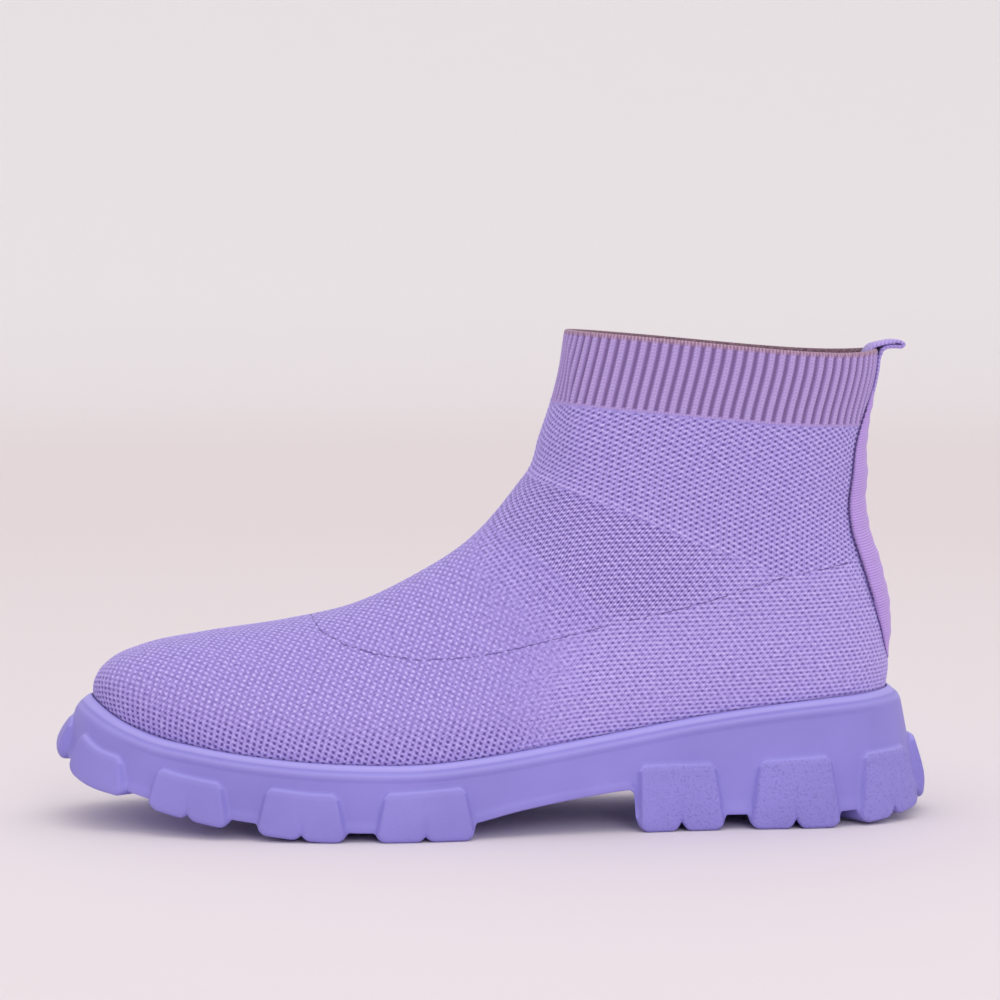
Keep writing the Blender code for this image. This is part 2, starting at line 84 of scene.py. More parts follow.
# station, height
featherTable = np.array([
    (12, 39.5), (20, 34.6), (30, 30.6), (46, 27.4), (70, 24.5), (95, 23.1), (115, 23.1), (135, 24.9),
    (170, 30.0), (205, 35.6), (240, 39.7), (268, 41.0),
])
ridgeTable = np.array([
    (12, 39.5), (12.2, 43.2), (14, 47.2), (18.4, 51.3), (27, 55.0), (46, 59.0), (74, 63.3), (94, 67.8),
    (113, 76.5), (132, 88.8), (146.2, 104.7), (151.6, 112.4), (154.1, 121.0), (157.9, 132.5),
    (160.8, 144.0), (162.5, 155.4),
])
# height, station of the back line
backTable = np.array([
    (36, 265.6), (41, 266.2), (47, 266.9), (54, 266.5), (62, 266.1), (70, 265.2), (78, 263.4), (85, 261.2),
    (92, 258.9), (98, 257.8), (110, 258.0), (120, 257.9), (129, 259.2), (136, 261.0), (142, 262.3),
    (149, 262.9),
])
# height, half width of the shaft
shaftTable = np.array([(40, 32), (70, 33), (105, 32), (130, 32.5), (156, 34)], float)


def smooth(knots, values, at):
    # a smooth curve through the values, level past its ends
    slopes = np.gradient(values, knots)
    at = np.clip(at, knots[0], knots[-1])
    i = np.clip(np.searchsorted(knots, at) - 1, 0, len(knots) - 2)
    span = knots[i + 1] - knots[i]
    t = (at - knots[i]) / span
    start = values[i] * (1 + 2 * t) * (1 - t) ** 2 + span * slopes[i] * t * (1 - t) ** 2
    end = values[i + 1] * t * t * (3 - 2 * t) + span * slopes[i + 1] * t * t * (t - 1)
    return start + end


def read(table, column, at):
    return smooth(table[:, 0], table[:, column], at)


def swell(t):
    # an eased step from 0 to 1
    t = np.clip(t, 0.0, 1.0)
    return t * t * (3 - 2 * t)


def past(value, edge):
    # 0 before an edge, 1 past it; an edge is its place and the length over which it fades
    return swell((value - edge[0]) / edge[1])


def before(value, edge):
    return swell((edge[0] - value) / edge[1])


def rounded(distance, length, power):
    # rises from 0 at a rounded end to 1 at its length
    t = np.clip(distance / length, 0.0, 1.0)
    return (1 - (1 - t) ** power) ** (1 / power)


def unit(vectors):
    return vectors / np.linalg.norm(vectors, axis=1, keepdims=True)


def runAlong(points):
    # distance from the first point to each point
    return np.concatenate([[0.0], np.cumsum(np.linalg.norm(np.diff(points, axis=0), axis=1))])


def curveThrough(points, samples):
    chord = runAlong(points)
    share = np.linspace(0.0, 1.0, samples)
    run = [smooth(chord, points[:, i], share * chord[-1]) for i in range(points.shape[1])]
    return np.stack(run, axis=1), share


ridgeSamples, edgeSamples = 800, 3000
ridgeLine, ridgeShare = curveThrough(ridgeTable, ridgeSamples)


def featherHeight(station):
    return read(featherTable, 1, station)


def ridgeHeight(station):
    beyond = np.maximum(station - ridgeLine[-1, 0], 0.0)
    return np.interp(station, ridgeLine[:, 0], ridgeLine[:, 1]) + last["ridgeRunOn"] * beyond


def footHalf(station):
    wide = read(footTable, 1, station) + read(footTable, 2, station)
    return wide / 2 * rounded(station - last["toeTip"], last["toeRound"], 2.0)


def footCentre(station):
    return (read(footTable, 2, station) - read(footTable, 1, station)) / 2


def upperSection(station, height):
    # middle and half width of the upper's outside
    above = height - featherHeight(station)
    rise = np.clip(above / np.maximum(ridgeHeight(station) - featherHeight(station), 0.01), 0.0, 1.0)
    crown = read(footTable, 3, station)
    arch = (1 - rise ** crown) ** (1 / crown)
    climb = swell(above / last["ankleRise"])
    half = footHalf(station) * (1 - climb) + read(shaftTable, 1, height) * climb
    half = half + last["bulge"] * np.sin(np.pi * np.clip(above / last["bulgeHeight"], 0.0, 1.0))
    heelFoot = featherHeight(last["heelEnd"])
    level = np.clip((height - heelFoot) / (last["collarBack"] - heelFoot), 0.0, 1.0)
    heelRound = last["heelRoundFoot"] + (last["heelRoundCollar"] - last["heelRoundFoot"]) * level
    heel = rounded(read(backTable, 1, height) - station, heelRound, last["heelPower"])
    centre = (footCentre(station) * (1 - rise) + last["ridgeLean"] * rise) * (1 - climb)
    return centre, half * arch * heel


def ringPoint(front, back, level, turn, side):
    # front and back are (station, height); turn runs from 0 at the front to pi at the back
    along = (1 - np.cos(turn)) / 2
    station = front[0] + (back[0] - front[0]) * along
    height = front[1] + (back[1] - front[1]) * along
    ends = featherHeight(front[0]) * (1 - along) + featherHeight(back[0]) * along
    height = height + (1 - level) * (featherHeight(station) - ends)
    height = height - last["collarDip"] * level * np.sin(np.pi * along ** 2)
    if side > 0:
        height = height - last["collarTilt"] * level * np.sin(turn)
    centre, half = upperSection(station, height)
    half = np.where((along <= 1e-9) | (along >= 1 - 1e-9), 0.0, half)
    return np.stack([station, centre + side * half, height], axis=-1)


# levels below 0 are the edge tucked down into the sole
tuckLevel = 0.045
tuckDepth = 3.6
tuckInset = 0.8
cuffShare = np.interp(last["cuffFront"], ridgeLine[:, 1], ridgeShare)


def lastPoint(level, turn, side):
    level, turn = np.broadcast_arrays(np.asarray(level, float), np.asarray(turn, float))
    up = np.maximum(level, 0.0)
    share = cuffShare * up ** last["toeCrowding"]
    front = [np.interp(share, ridgeShare, ridgeLine[:, i]) for i in range(2)]
    foot = float(featherHeight(last["heelEnd"]))
    backHeight = foot + (last["cuffBack"] - foot) * up
    point = ringPoint(front, (read(backTable, 1, backHeight), backHeight), up, turn, side)
    sink = np.clip(-level / tuckLevel, 0.0, 1.0)
    point[..., 0] += tuckInset * sink * np.cos(turn)
    point[..., 1] -= side * tuckInset * sink * np.sin(turn)
    point[..., 2] -= tuckDepth * sink
    return point


# The knit is stretched over the last, so it bridges the hollow where the foot turns up into the shaft:
# the sides are evened out on a grid, and the change is read back at any place.
eased = {
    "turns": 181,
    "levels": 165,
    "passes": 90,
    "top": 1.02,
    "frontMargin": 0.45,     # turns and levels near the edges that stay as they are
    "backMargin": 0.3,
    "levelMargin": 0.12,
}


def easedSides():
    turns = np.linspace(0.0, np.pi, eased["turns"])
    levels = np.linspace(-tuckLevel, eased["top"], eased["levels"])
    free = (swell(turns / eased["frontMargin"]) * swell((np.pi - turns) / eased["backMargin"]))[None, :]
    margin = eased["levelMargin"]
    free = free * (swell(levels / margin) * swell((1 - levels) / margin))[:, None]
    change = {}
    for side in (-1, 1):
        start = lastPoint(levels[:, None], turns[None, :], side)[..., 1]
        y = start.copy()
        for _ in range(eased["passes"]):
            around = y.copy()
            around[1:-1, 1:-1] = (y[2:, 1:-1] + y[:-2, 1:-1] + y[1:-1, 2:] + y[1:-1, :-2]) / 4
            y = y + free * (around - y)
        change[side] = y - start
        print("sides eased by up to", round(float(np.abs(change[side]).max()), 2), "mm")
    return change


easedChange = easedSides()


def bodyPoint(level, turn, side):
    level, turn = np.broadcast_arrays(np.asarray(level, float), np.asarray(turn, float))
    point = lastPoint(level, turn, side)
    grid = easedChange[side]
    row = np.clip((level + tuckLevel) / (eased["top"] + tuckLevel), 0.0, 1.0) * (eased["levels"] - 1)
    column = np.clip(turn / np.pi, 0.0, 1.0) * (eased["turns"] - 1)
    r = np.minimum(row.astype(int), eased["levels"] - 2)
    c = np.minimum(column.astype(int), eased["turns"] - 2)
    s, t = row - r, column - c
    low = grid[r, c] * (1 - t) + grid[r, c + 1] * t
    high = grid[r + 1, c] * (1 - t) + grid[r + 1, c + 1] * t
    point[..., 1] += low * (1 - s) + high * s
    return point


def cuffPoint(share, turn, side):
    share, turn = np.broadcast_arrays(np.asarray(share, float), np.asarray(turn, float))
    high = last["cuffFront"] + (last["collarFront"] - last["cuffFront"]) * share
    front = (np.interp(high, ridgeLine[:, 1], ridgeLine[:, 0]), high)
    low = last["cuffBack"] + (last["collarBack"] - last["cuffBack"]) * share
    return ringPoint(front, (read(backTable, 1, low), low), np.ones_like(share), turn, side)


faceLine = 8.0     # girth along the sole is measured this far out from the feather


def soleEdge(side, out):
    # plan of the feather down one side, moved out: x, y, station of the feather, girth
    turn = np.linspace(0.0, np.pi, edgeSamples)
    tip, end = last["toeTip"], last["heelEnd"]
    station = (tip + end) / 2 - (end - tip) / 2 * np.cos(turn)
    half = footHalf(station) * rounded(end - station, last["heelRoundFoot"], last["heelPower"])
    plan = np.stack([station, footCentre(station) + side * half], axis=1)
    run = unit(np.gradient(plan, axis=0))
    normal = np.stack([run[:, 1], -run[:, 0]], axis=1) * -side
    return np.column_stack([plan + normal * out, station, runAlong(plan + normal * faceLine)])


def alongEdge(edge, girth):
    # plan of such an edge at any girth
    return np.stack([np.interp(girth, edge[:, 3], edge[:, i]) for i in range(2)], axis=-1)


planShift = -(soleEdge(-1, faceLine)[:, 1].min() + soleEdge(1, faceLine)[:, 1].max()) / 2
toFrame = np.array([-last["length"] / 2, planShift, 0.0])


# Meshes

def gridFaces(rows, columns, closed=False):
    wrap = columns if closed else columns - 1
    row = np.arange(rows - 1)[:, None] * columns
    low = row + np.arange(wrap)[None, :]
    nextLow = row + (np.arange(wrap)[None, :] + 1) % columns
    return np.stack([low, nextLow, nextLow + columns, low + columns], axis=-1).reshape(-1, 4)


def acrossFaces(count, first=0):
    # fills a ring whose two sides match point for point, toe at 0 and heel half way
    faces = []
    for i in range(count // 2):
        near = [first + i, first + i + 1]
        far = [first + (count - i - 1) % count, first + (count - i) % count]
        faces.append(list(dict.fromkeys(near + far)))
    return faces


def filledFaces(rows, count):
    # rings of points, the first and the last filled straight across
    faces = gridFaces(rows, count, closed=True).tolist()
    return faces + [f[::-1] for f in acrossFaces(count)] + acrossFaces(count, (rows - 1) * count)


def tubeFaces(rows, around):
    # rings of points with one face over each end
    faces = gridFaces(rows, around, closed=True).tolist()
    return faces + [list(range(around))[::-1], list(range((rows - 1) * around, rows * around))]


def outward(points, faces):
    # the faces of a closed mesh, turned over if they point in
    volume = 0.0
    for size in (3, 4):
        some = np.array([f for f in faces if len(f) == size])
        for k in range(1, size - 1):
            if len(some):
                a, b, c = points[some[:, 0]], points[some[:, k]], points[some[:, k + 1]]
                volume += np.einsum("ij,ij->i", a, np.cross(b, c)).sum()
    return faces if volume > 0 else [f[::-1] for f in faces]


def makeMesh(name, points, faces):
    mesh = bpy.data.meshes.new(name)
    place = (np.asarray(points, float).reshape(-1, 3) + toFrame) * mm
    mesh.from_pydata(place.tolist(), [], [list(map(int, f)) for f in faces])
    mesh.shade_smooth()
    mesh.update()
    return mesh


def vertexNormals(mesh):
    flat = np.zeros(len(mesh.vertices) * 3, np.float32)
    mesh.vertex_normals.foreach_get("vector", flat)
    return flat.reshape(-1, 3).astype(float)


def setAttribute(mesh, name, values):
    layer = mesh.attributes.new(name, "FLOAT", "POINT")
    layer.data.foreach_set("value", np.ascontiguousarray(values, np.float32).ravel())


def addPiece(name, mesh, material, node):
    mesh.materials.append(material)
    piece = bpy.data.objects.new(name, mesh)
    bpy.context.scene.collection.objects.link(piece)
    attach(piece, "root")
    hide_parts(node)
    print("piece", name, "faces", len(mesh.polygons))


# Materials

def linear(red, green, blue):
    # a screen colour, 0 to 255, as the linear colour that materials take
    values = [c / 255 for c in (red, green, blue)]
    return [c / 12.92 if c <= 0.04045 else ((c + 0.055) / 1.055) ** 2.4 for c in values] + [1.0]


class Finish:
    # a Principled material with a few shortcuts for its nodes
    def __init__(self, name, roughness, sheen=0.0, specular=0.5):
        self.material = bpy.data.materials.new(name)
        self.material.use_nodes = True
        self.nodes = self.material.node_tree.nodes
        self.links = self.material.node_tree.links
        self.shader = self.nodes["Principled BSDF"]
        self.shader.inputs["Roughness"].default_value = roughness
        self.shader.inputs["Sheen Weight"].default_value = sheen
        self.shader.inputs["Sheen Roughness"].default_value = 0.5
        self.shader.inputs["Specular IOR Level"].default_value = specular

    def put(self, socket, source):
        if hasattr(source, "is_output"):
            self.links.new(source, socket)
        else:
            socket.default_value = source

    def attribute(self, name):
        node = self.nodes.new("ShaderNodeAttribute")
        node.attribute_name = name
        return node.outputs["Fac"]

    def place(self):
        return self.nodes.new("ShaderNodeTexCoord").outputs["Object"]

    def noise(self, scale, detail=3.0, where=None):
        node = self.nodes.new("ShaderNodeTexNoise")
        node.inputs["Scale"].default_value = scale
        node.inputs["Detail"].default_value = detail
        self.links.new(where or self.place(), node.inputs["Vector"])
        return node.outputs["Fac"]

    def math(self, operation, a, b=0.0, c=0.0):
        node = self.nodes.new("ShaderNodeMath")
        node.operation = operation
        for socket, source in zip(node.inputs, (a, b, c)):
            self.put(socket, source)
        return node.outputs["Value"]

    def vector(self, x, y):
        node = self.nodes.new("ShaderNodeCombineXYZ")
        for socket, source in zip(node.inputs, (x, y)):
            self.put(socket, source)
        return node.outputs["Vector"]

    def wave(self, column, across, row, up):
        phase = self.math("MULTIPLY", row, 2 * math.pi * up)
        return self.math("COSINE", self.math("MULTIPLY_ADD", column, 2 * math.pi * across, phase))

    def total(self, terms):
        amount = 0.0
        for strength, source in terms:
            amount = self.math("MULTIPLY_ADD", source, strength, amount)
        return amount

    def ramp(self, factor, stops):
        node = self.nodes.new("ShaderNodeValToRGB")
        self.links.new(factor, node.inputs["Fac"])
        while len(node.color_ramp.elements) < len(stops):
            node.color_ramp.elements.new(0.5)
        for element, (position, colour) in zip(node.color_ramp.elements, stops):
            element.position = position
            element.color = colour
        return node.outputs["Color"]

    def mix(self, factor, a, b):
        node = self.nodes.new("ShaderNodeMix")
        node.data_type = "RGBA"
        self.put(node.inputs["Factor"], factor)
        rgba = [s for s in node.inputs if s.type == "RGBA"]
        self.put(rgba[0], a)
        self.put(rgba[1], b)
        return [s for s in node.outputs if s.type == "RGBA"][0]

    def bump(self, height, distance, strength=1.0, under=None):
        node = self.nodes.new("ShaderNodeBump")
        node.inputs["Distance"].default_value = distance
        self.put(node.inputs["Strength"], strength)
        self.links.new(height, node.inputs["Height"])
        if under is not None:
            self.links.new(under, node.inputs["Normal"])
        return node.outputs["Normal"]

    def colour(self, source):
        self.put(self.shader.inputs["Base Color"], source)

    def normal(self, source):
        self.links.new(source, self.shader.inputs["Normal"])


def brushedCloth(name, roughness, sheen, fineness, relief, look):
    # soft cloth with a short nap, for the lining and the insole
    finish = Finish(name, roughness, sheen=sheen, specular=0.2)
    fuzz = finish.noise(fineness)
    finish.colour(finish.ramp(fuzz, [(0.3, look["dark"]), (0.7, look["light"])]))
    finish.normal(finish.bump(fuzz, 0.0002, relief))
    return finish.material


# Knitted body: one small vertex for each place of the knitting chart, laid out flat and wrapped on the last
knit = {
    "stepAlong": 0.60,       # millimetres between chart places
    "stepUp": 0.46,
    "pit": 0.36,             # depth of a hole and height of a loop
    "loop": 0.18,
    "hem": 1.02,             # the body runs on under the cuff to this level, lying deeper there
    "hemDrop": 1.7,
    "hemFade": 0.006,
    "hemStep": 0.008,
    "patchLevels": 46,       # grid on which one side is laid out flat
    "patchTurns": 73,
    "unwrapPasses": 60,
    "uprightFrom": 175.0,    # part of the shaft on which the flat pattern stands upright
    "uprightTo": 235.0,
    "uprightAbove": 80.0,
    "foreTurn": 20.0,        # degrees that the rows are turned on the forefoot, at the heel and on the shaft
    "heelTurn": 3.0,
    "shaftTurn": -8.0,
    "lineBlend": 1.2,        # millimetres over which one repeat gives way to the next
    "seamBlend": 3.0,
    "seamStitch": 2.4,
    "wholeWave": 0.36,       # the wave that gives a whole pit or loop
    "calm": 0.4,             # how much the forefoot's repeat fades towards the instep
    "edgeWeave": 1.5,        # how strong it is close to the sole, where its flecks turn into holes
    "edgeHoles": 1.6,
    "edgeShade": 0.55,       # painted shade: a dark line along the sole, where the knit meets it
    "edgeWide": 0.7,
    "uneven": 0.5,           # how much one stitch differs from the next
    "fuzz": 0.5,
    # painted highlight on the loops and painted shade in the holes, over the thread's own colour
    "loopHighlight": linear(216, 202, 255),
    "thread": linear(170, 153, 227),
    "holeAndShade": linear(102, 83, 157),
    "seamColour": linear(78, 60, 128),
    "edgeShadeColour": linear(112, 94, 170),
}
# The knitting is a sum of waves over the chart's columns and rows, with a hole where they all meet.
# Turns per column and per row of each wave, then its strength.  The last ones are colour only.
shaftWaves = (
    (0.215, 0.245, 0.17),
    (0.145, -0.285, 0.16),
    (0.36, -0.04, 0.05),
    (0.505, -0.325, 0.06),
    (0.72, -0.08, 0.05),
)
foreWaves = ((0.245, 0.227, 0.11), (0.255, -0.105, 0.10), (0.265, -0.437, 0.04))
# light flecks on the forefoot, holes close to the sole
fleckWaves = ((-0.01, 0.332, 0.05), (0.50, 0.122, 0.06))
# the same waves all over the heel, quarter and instep, with strengths for each part
footWaves = {
    "rows": (0.0, 0.341),
    "rising": (0.276, 0.122),
    "falling": (0.276, -0.219),
    "fine": (0.552, -0.438),
}
panelWeave = {
    "heel": (0.16, 0.10, 0.08, 0.08),
    "quarter": (0.21, 0.17, 0.05, 0.21),
    "instep": (0.12, 0.13, 0.08, 0.10),
}
# whether the loops (+) or the holes (-) stand out more, and how much lighter or darker each part is
partLook = {
    "shaft": (-0.3, -0.02),
    "heel": (-0.2, 0.03),
    "quarter": (-0.3, -0.05),
    "instep": (0.4, -0.05),
    "fore": (0.8, -0.05),
    "foreEdge": (-0.7, -0.09),
}
# where one part gives way to the next, and over how many millimetres
partEdges = {
    "rowsTurnUp": (82, 36),          # height
    "rowsTurnFore": (192, 62),       # stations
    "quarterBack": (226, 40),
    "ankleFade": (232, 30),
    "instepFront": (128, 14),
    "foreBack": (168, 30),
    "calmer": (120, 30),
    "instepLow": (24, 22),           # below the quarter line
    "holesHigh": (15, 11),           # above the sole
}
foreSlant = 0.3          # the back edge of the forefoot leans back above this height
foreSlantHeight = 45.0
# strength, place across the line and half width of the light and dark rows along each line
lineRows = {
    "ankleLight": (0.08, 0.9, 0.7),
    "ankleDark": (0.07, -0.8, 0.8),
    "vampLight": (0.05, 0.7, 0.6),
    "quarterDark": (0.05, -0.8, 0.8),
    "seamThread": (0.12, 0.0, 0.42),
}

# Lines knitted into the upper, as station and height, from the front to the back.  The ankle line is where
# the foot's repeat changes to the shaft's, the quarter line and the vamp line slant down to the sole.
ankleLine = np.array([
    (143, 112), (153.9, 107.8), (163.5, 105.0), (174.1, 100.8), (185.8, 95.9), (203.7, 88.3), (219.5, 82.5),
    (225.5, 79.0), (232, 79.6), (251.7, 82.8), (268, 85.0),
])
quarterLine = np.array([
    (136, 95.5), (141.1, 90.9), (154.9, 81.7), (164.8, 73.6), (173.2, 67.3), (185.8, 60.3), (193, 53.0),
    (206, 41.5),
])
vampLine = np.array([(118, 79.0), (121.4, 74.7), (127.9, 66.2), (134.9, 58.7), (137.9, 56.0)])
footSeam = np.array([
    (79.5, 67.0), (81, 65.2), (83.6, 61.5), (91.1, 57.6), (101.8, 54.9), (114, 53.6), (127.3, 54.2),
    (139.8, 56.0), (155.3, 59.7), (176.3, 64.8), (194.3, 68.6), (211, 73.1), (229.1, 78.6), (251.7, 82.3),
])


def flatPattern(points):
    # lays an open patch of points out flat with little stretch, in millimetres
    rows, columns = points.shape[:2]
    faces = gridFaces(rows, columns)
    mesh = makeMesh("pattern", points, faces)
    patch = bpy.data.objects.new("pattern", mesh)
    bpy.context.scene.collection.objects.link(patch)
    bpy.context.view_layer.objects.active = patch
    patch.select_set(True)
    bpy.ops.object.mode_set(mode="EDIT")
    bpy.ops.mesh.select_all(action="SELECT")
    bpy.ops.uv.unwrap(method="MINIMUM_STRETCH", iterations=knit["unwrapPasses"])
    bpy.ops.object.mode_set(mode="OBJECT")
    layer = mesh.uv_layers.active
    corner = np.zeros(len(mesh.loops) * 2, np.float32)
    layer.uv.foreach_get("vector", corner)
    owner = np.zeros(len(mesh.loops), np.int32)
    mesh.loops.foreach_get("vertex_index", owner)
    flat = np.zeros((rows * columns, 2))
    flat[owner] = corner.reshape(-1, 2)
    bpy.data.objects.remove(patch)
    bpy.data.meshes.remove(mesh)
    # same area as the patch, turned to stand upright on the side of the shaft
    solid = points.reshape(-1, 3)
    a, b, c, d = [solid[faces[:, i]] for i in range(4)]
    area = np.linalg.norm(np.cross(c - a, d - b), axis=1).sum() / 2
    e, f, g, h = [flat[faces[:, i]] for i in range(4)]
    drawn = np.abs(np.cross(g - e, h - f)).sum() / 2
    side = (solid[:, 0] > knit["uprightFrom"]) & (solid[:, 0] < knit["uprightTo"])
    side = side & (solid[:, 2] > knit["uprightAbove"])
    seen = solid[side][:, [0, 2]]
    spread = flat[side] - flat[side].mean(axis=0)
    u, _, v = np.linalg.svd(spread.T @ (seen - seen.mean(axis=0)))
    flat = (flat - flat[side].mean(axis=0)) @ (u @ v) * math.sqrt(area / drawn)
    print("pattern of one side:", round(area), "mm2")
    return (flat + seen.mean(axis=0)).reshape(rows, columns, 2)


def turnedPattern(flat, angle):
    # the same pattern with its rows turned by an angle that changes slowly from place to place
    count = angle.size
    index = np.arange(count).reshape(angle.shape)
    a = np.concatenate([index[:, :-1].ravel(), index[:-1].ravel()])
    b = np.concatenate([index[:, 1:].ravel(), index[1:].ravel()])
    step = flat.reshape(-1, 2)[b] - flat.reshape(-1, 2)[a]
    turn = -np.radians(angle.ravel()[a] + angle.ravel()[b]) / 2
    c, s = np.cos(turn), np.sin(turn)
    wanted = np.stack([step[:, 0] * c - step[:, 1] * s, step[:, 0] * s + step[:, 1] * c], axis=1)
    ties, pull = np.zeros((count, count)), np.zeros((count, 2))
    for place, other, sign in ((a, b, -1), (b, a, 1)):
        np.add.at(ties, (place, place), 1.0)
        np.add.at(ties, (place, other), -1.0)
        np.add.at(pull, place, sign * wanted)
    ties[0, 0] += 1.0
    return np.linalg.solve(ties, pull).reshape(flat.shape)


def grownBy(grid):
    # one more row and column all round, carried straight on
    grid = np.concatenate([2 * grid[:1] - grid[1:2], grid, 2 * grid[-1:] - grid[-2:-1]])
    return np.concatenate([2 * grid[:, :1] - grid[:, 1:2], grid, 2 * grid[:, -1:] - grid[:, -2:-1]], axis=1)


def chartPlaces(flat, wrap):
    # which turn and level each place of the chart wraps to, as a grid that is empty outside the pattern
    cell = flat / (knit["stepAlong"], knit["stepUp"])
    low = np.floor(cell.reshape(-1, 2).min(axis=0)).astype(int)
    size = np.ceil(cell.reshape(-1, 2).max(axis=0)).astype(int) - low + 1
    found = np.full((size[0], size[1], 2), np.nan)
    halves = ((0, 0), (0, 1), (1, 1)), ((0, 0), (1, 1), (1, 0))
    for row in range(flat.shape[0] - 1):
        for column in range(flat.shape[1] - 1):
            for triangle in halves:
                at = np.array([cell[row + i, column + j] for i, j in triangle]) - low
                to = np.array([wrap[row + i, column + j] for i, j in triangle])
                start = np.ceil(at.min(axis=0) - 1e-9).astype(int)
                stop = np.floor(at.max(axis=0) + 1e-9).astype(int) + 1
                if (stop <= start).any():
                    continue
                spans = [np.arange(start[k], stop[k]) for k in range(2)]
                i, j = np.meshgrid(*spans, indexing="ij")
                edge1, edge2 = at[1] - at[0], at[2] - at[0]
                twice = edge1[0] * edge2[1] - edge1[1] * edge2[0]
                if abs(twice) < 1e-12:
                    continue
                x, y = i - at[0, 0], j - at[0, 1]
                s = (x * edge2[1] - y * edge2[0]) / twice
                t = (edge1[0] * y - edge1[1] * x) / twice
                inside = (s > -1e-6) & (t > -1e-6) & (s + t < 1 + 1e-6)
                value = to[0] + s[..., None] * (to[1] - to[0]) + t[..., None] * (to[2] - to[0])
                found[i[inside], j[inside]] = value[inside]
    return found, low


def alongLine(line, station, height):
    # signed distance to a line drawn on the side of the boot, above it positive, and the run along it
    best = np.full(station.shape, 1e9)
    signed = np.zeros(station.shape)
    run = np.zeros(station.shape)
    passed = 0.0
    for a, b in zip(line[:-1], line[1:]):
        span = np.linalg.norm(b - a)
        ahead = (b - a) / span
        x, y = station - a[0], height - a[1]
        t = np.clip(x * ahead[0] + y * ahead[1], 0.0, span)
        d = np.hypot(x - t * ahead[0], y - t * ahead[1])
        nearer = d < best
        run = np.where(nearer, passed + t, run)
        signed = np.where(nearer, np.sign(ahead[0] * y - ahead[1] * x) * d, signed)
        best = np.minimum(best, d)
        passed += span
    return signed, run


def band(distance, middle, half):
    return np.exp(-((distance - middle) / half) ** 2)


def lineRow(name, distance):
    strength, middle, half = lineRows[name]
    return strength * band(distance, middle, half)


def knitMaterial():
    finish = Finish("lilac_knit", 0.88, sheen=0.15, specular=0.25)
    column, row = finish.attribute("column"), finish.attribute("row")
    weaveTone = 0.0
    for name, sign, waves in (("shaft", -1, shaftWaves), ("fore", -1, foreWaves), ("flecks", 1, fleckWaves)):
        part = finish.total([(sign * size, finish.wave(column, u, row, v)) for u, v, size in waves])
        weaveTone = finish.math("MULTIPLY_ADD", part, finish.attribute(name), weaveTone)
    for name, (u, v) in footWaves.items():
        strength = finish.math("MULTIPLY", finish.attribute(name), -1.0)
        weaveTone = finish.math("MULTIPLY_ADD", finish.wave(column, u, row, v), strength, weaveTone)
    peaks = finish.math("MULTIPLY", finish.math("MULTIPLY", weaveTone, weaveTone), finish.attribute("peaks"))
    fuzz = finish.noise(1700.0, 2.0)
    uneven = finish.noise(0.42, 1.0, finish.vector(column, row))
    tone = finish.total([
        (1.0, weaveTone),
        (1.0, peaks),
        (1.0, finish.attribute("tone")),
        (knit["uneven"], finish.math("SUBTRACT", uneven, 0.5)),
        (knit["fuzz"], finish.math("SUBTRACT", fuzz, 0.5)),
    ])
    # the yarn's colour follows the relief: partly the knit's own pattern, partly painted shade in the holes
    # and a painted highlight on the loops
    yarn = finish.ramp(tone, [(0.05, knit["holeAndShade"]), (0.5, knit["thread"]), (0.92, knit["loopHighlight"])])
    wander = finish.math("MULTIPLY_ADD", finish.noise(700.0, 1.0), 1.0, -0.5)
    away = finish.math("ABSOLUTE", finish.math("ADD", finish.attribute("fromSeam"), wander))
    worn = finish.noise(420.0, 1.0)
    broken = finish.ramp(worn, [(0.36, linear(70, 70, 70)), (0.5, linear(235, 235, 235))])
    line = finish.ramp(away, [(0.06, linear(255, 255, 255)), (0.26, linear(0, 0, 0))])
    yarn = finish.mix(finish.math("MULTIPLY", line, broken), yarn, knit["seamColour"])
    # painted shade along the foot of the knit, where it meets the sole
    finish.colour(finish.mix(finish.attribute("edge"), yarn, knit["edgeShadeColour"]))
    finish.normal(finish.bump(tone, 0.00022, 0.6))
    return finish.material


def chartCells(found, levels):
    # the places that are used, and four of them for each face that lies on the body
    there = ~np.isnan(found[..., 0])
    turn, level = found[..., 0], found[..., 1]
    with np.errstate(invalid="ignore"):
        outside = np.stack([turn < 0, turn > np.pi, level < levels[0], level > levels[-1]], axis=-1)

    def corners(grid):
        return [grid[:-1, :-1], grid[1:, :-1], grid[1:, 1:], grid[:-1, 1:]]

    whole = np.all(corners(there), axis=0)
    lost = np.all(corners(outside), axis=0).any(axis=-1)
    index = np.arange(there.size).reshape(there.shape)
    cells = np.stack(corners(index), axis=-1)[whole & ~lost]
    used, faces = np.unique(cells, return_inverse=True)
    return used, faces.reshape(-1, 4)


def knitChart():
    # column, row, turn and level of each place, and the faces between them
    levels = np.linspace(-tuckLevel, knit["hem"], knit["patchLevels"])
    turns = np.linspace(0.0, np.pi, knit["patchTurns"])
    patch = bodyPoint(levels[:, None], turns[None, :], -1)
    up = past(patch[..., 2], partEdges["rowsTurnUp"])
    fore = before(patch[..., 0], partEdges["rowsTurnFore"])
    angle = (knit["heelTurn"] * (1 - fore) + knit["foreTurn"] * fore) * (1 - up) + knit["shaftTurn"] * up
    flat = turnedPattern(flatPattern(patch), angle)
    wrap = np.stack(np.broadcast_arrays(turns[None, :], levels[:, None]), axis=-1)
    found, low = chartPlaces(grownBy(flat), grownBy(wrap))
    used, faces = chartCells(found, levels)
    column, row = np.unravel_index(used, found.shape[:2])
    turn = np.clip(found[..., 0].ravel()[used], 0.0, np.pi)
    level = np.clip(found[..., 1].ravel()[used], levels[0], levels[-1])
    return column + low[0], row + low[1], turn, level, faces


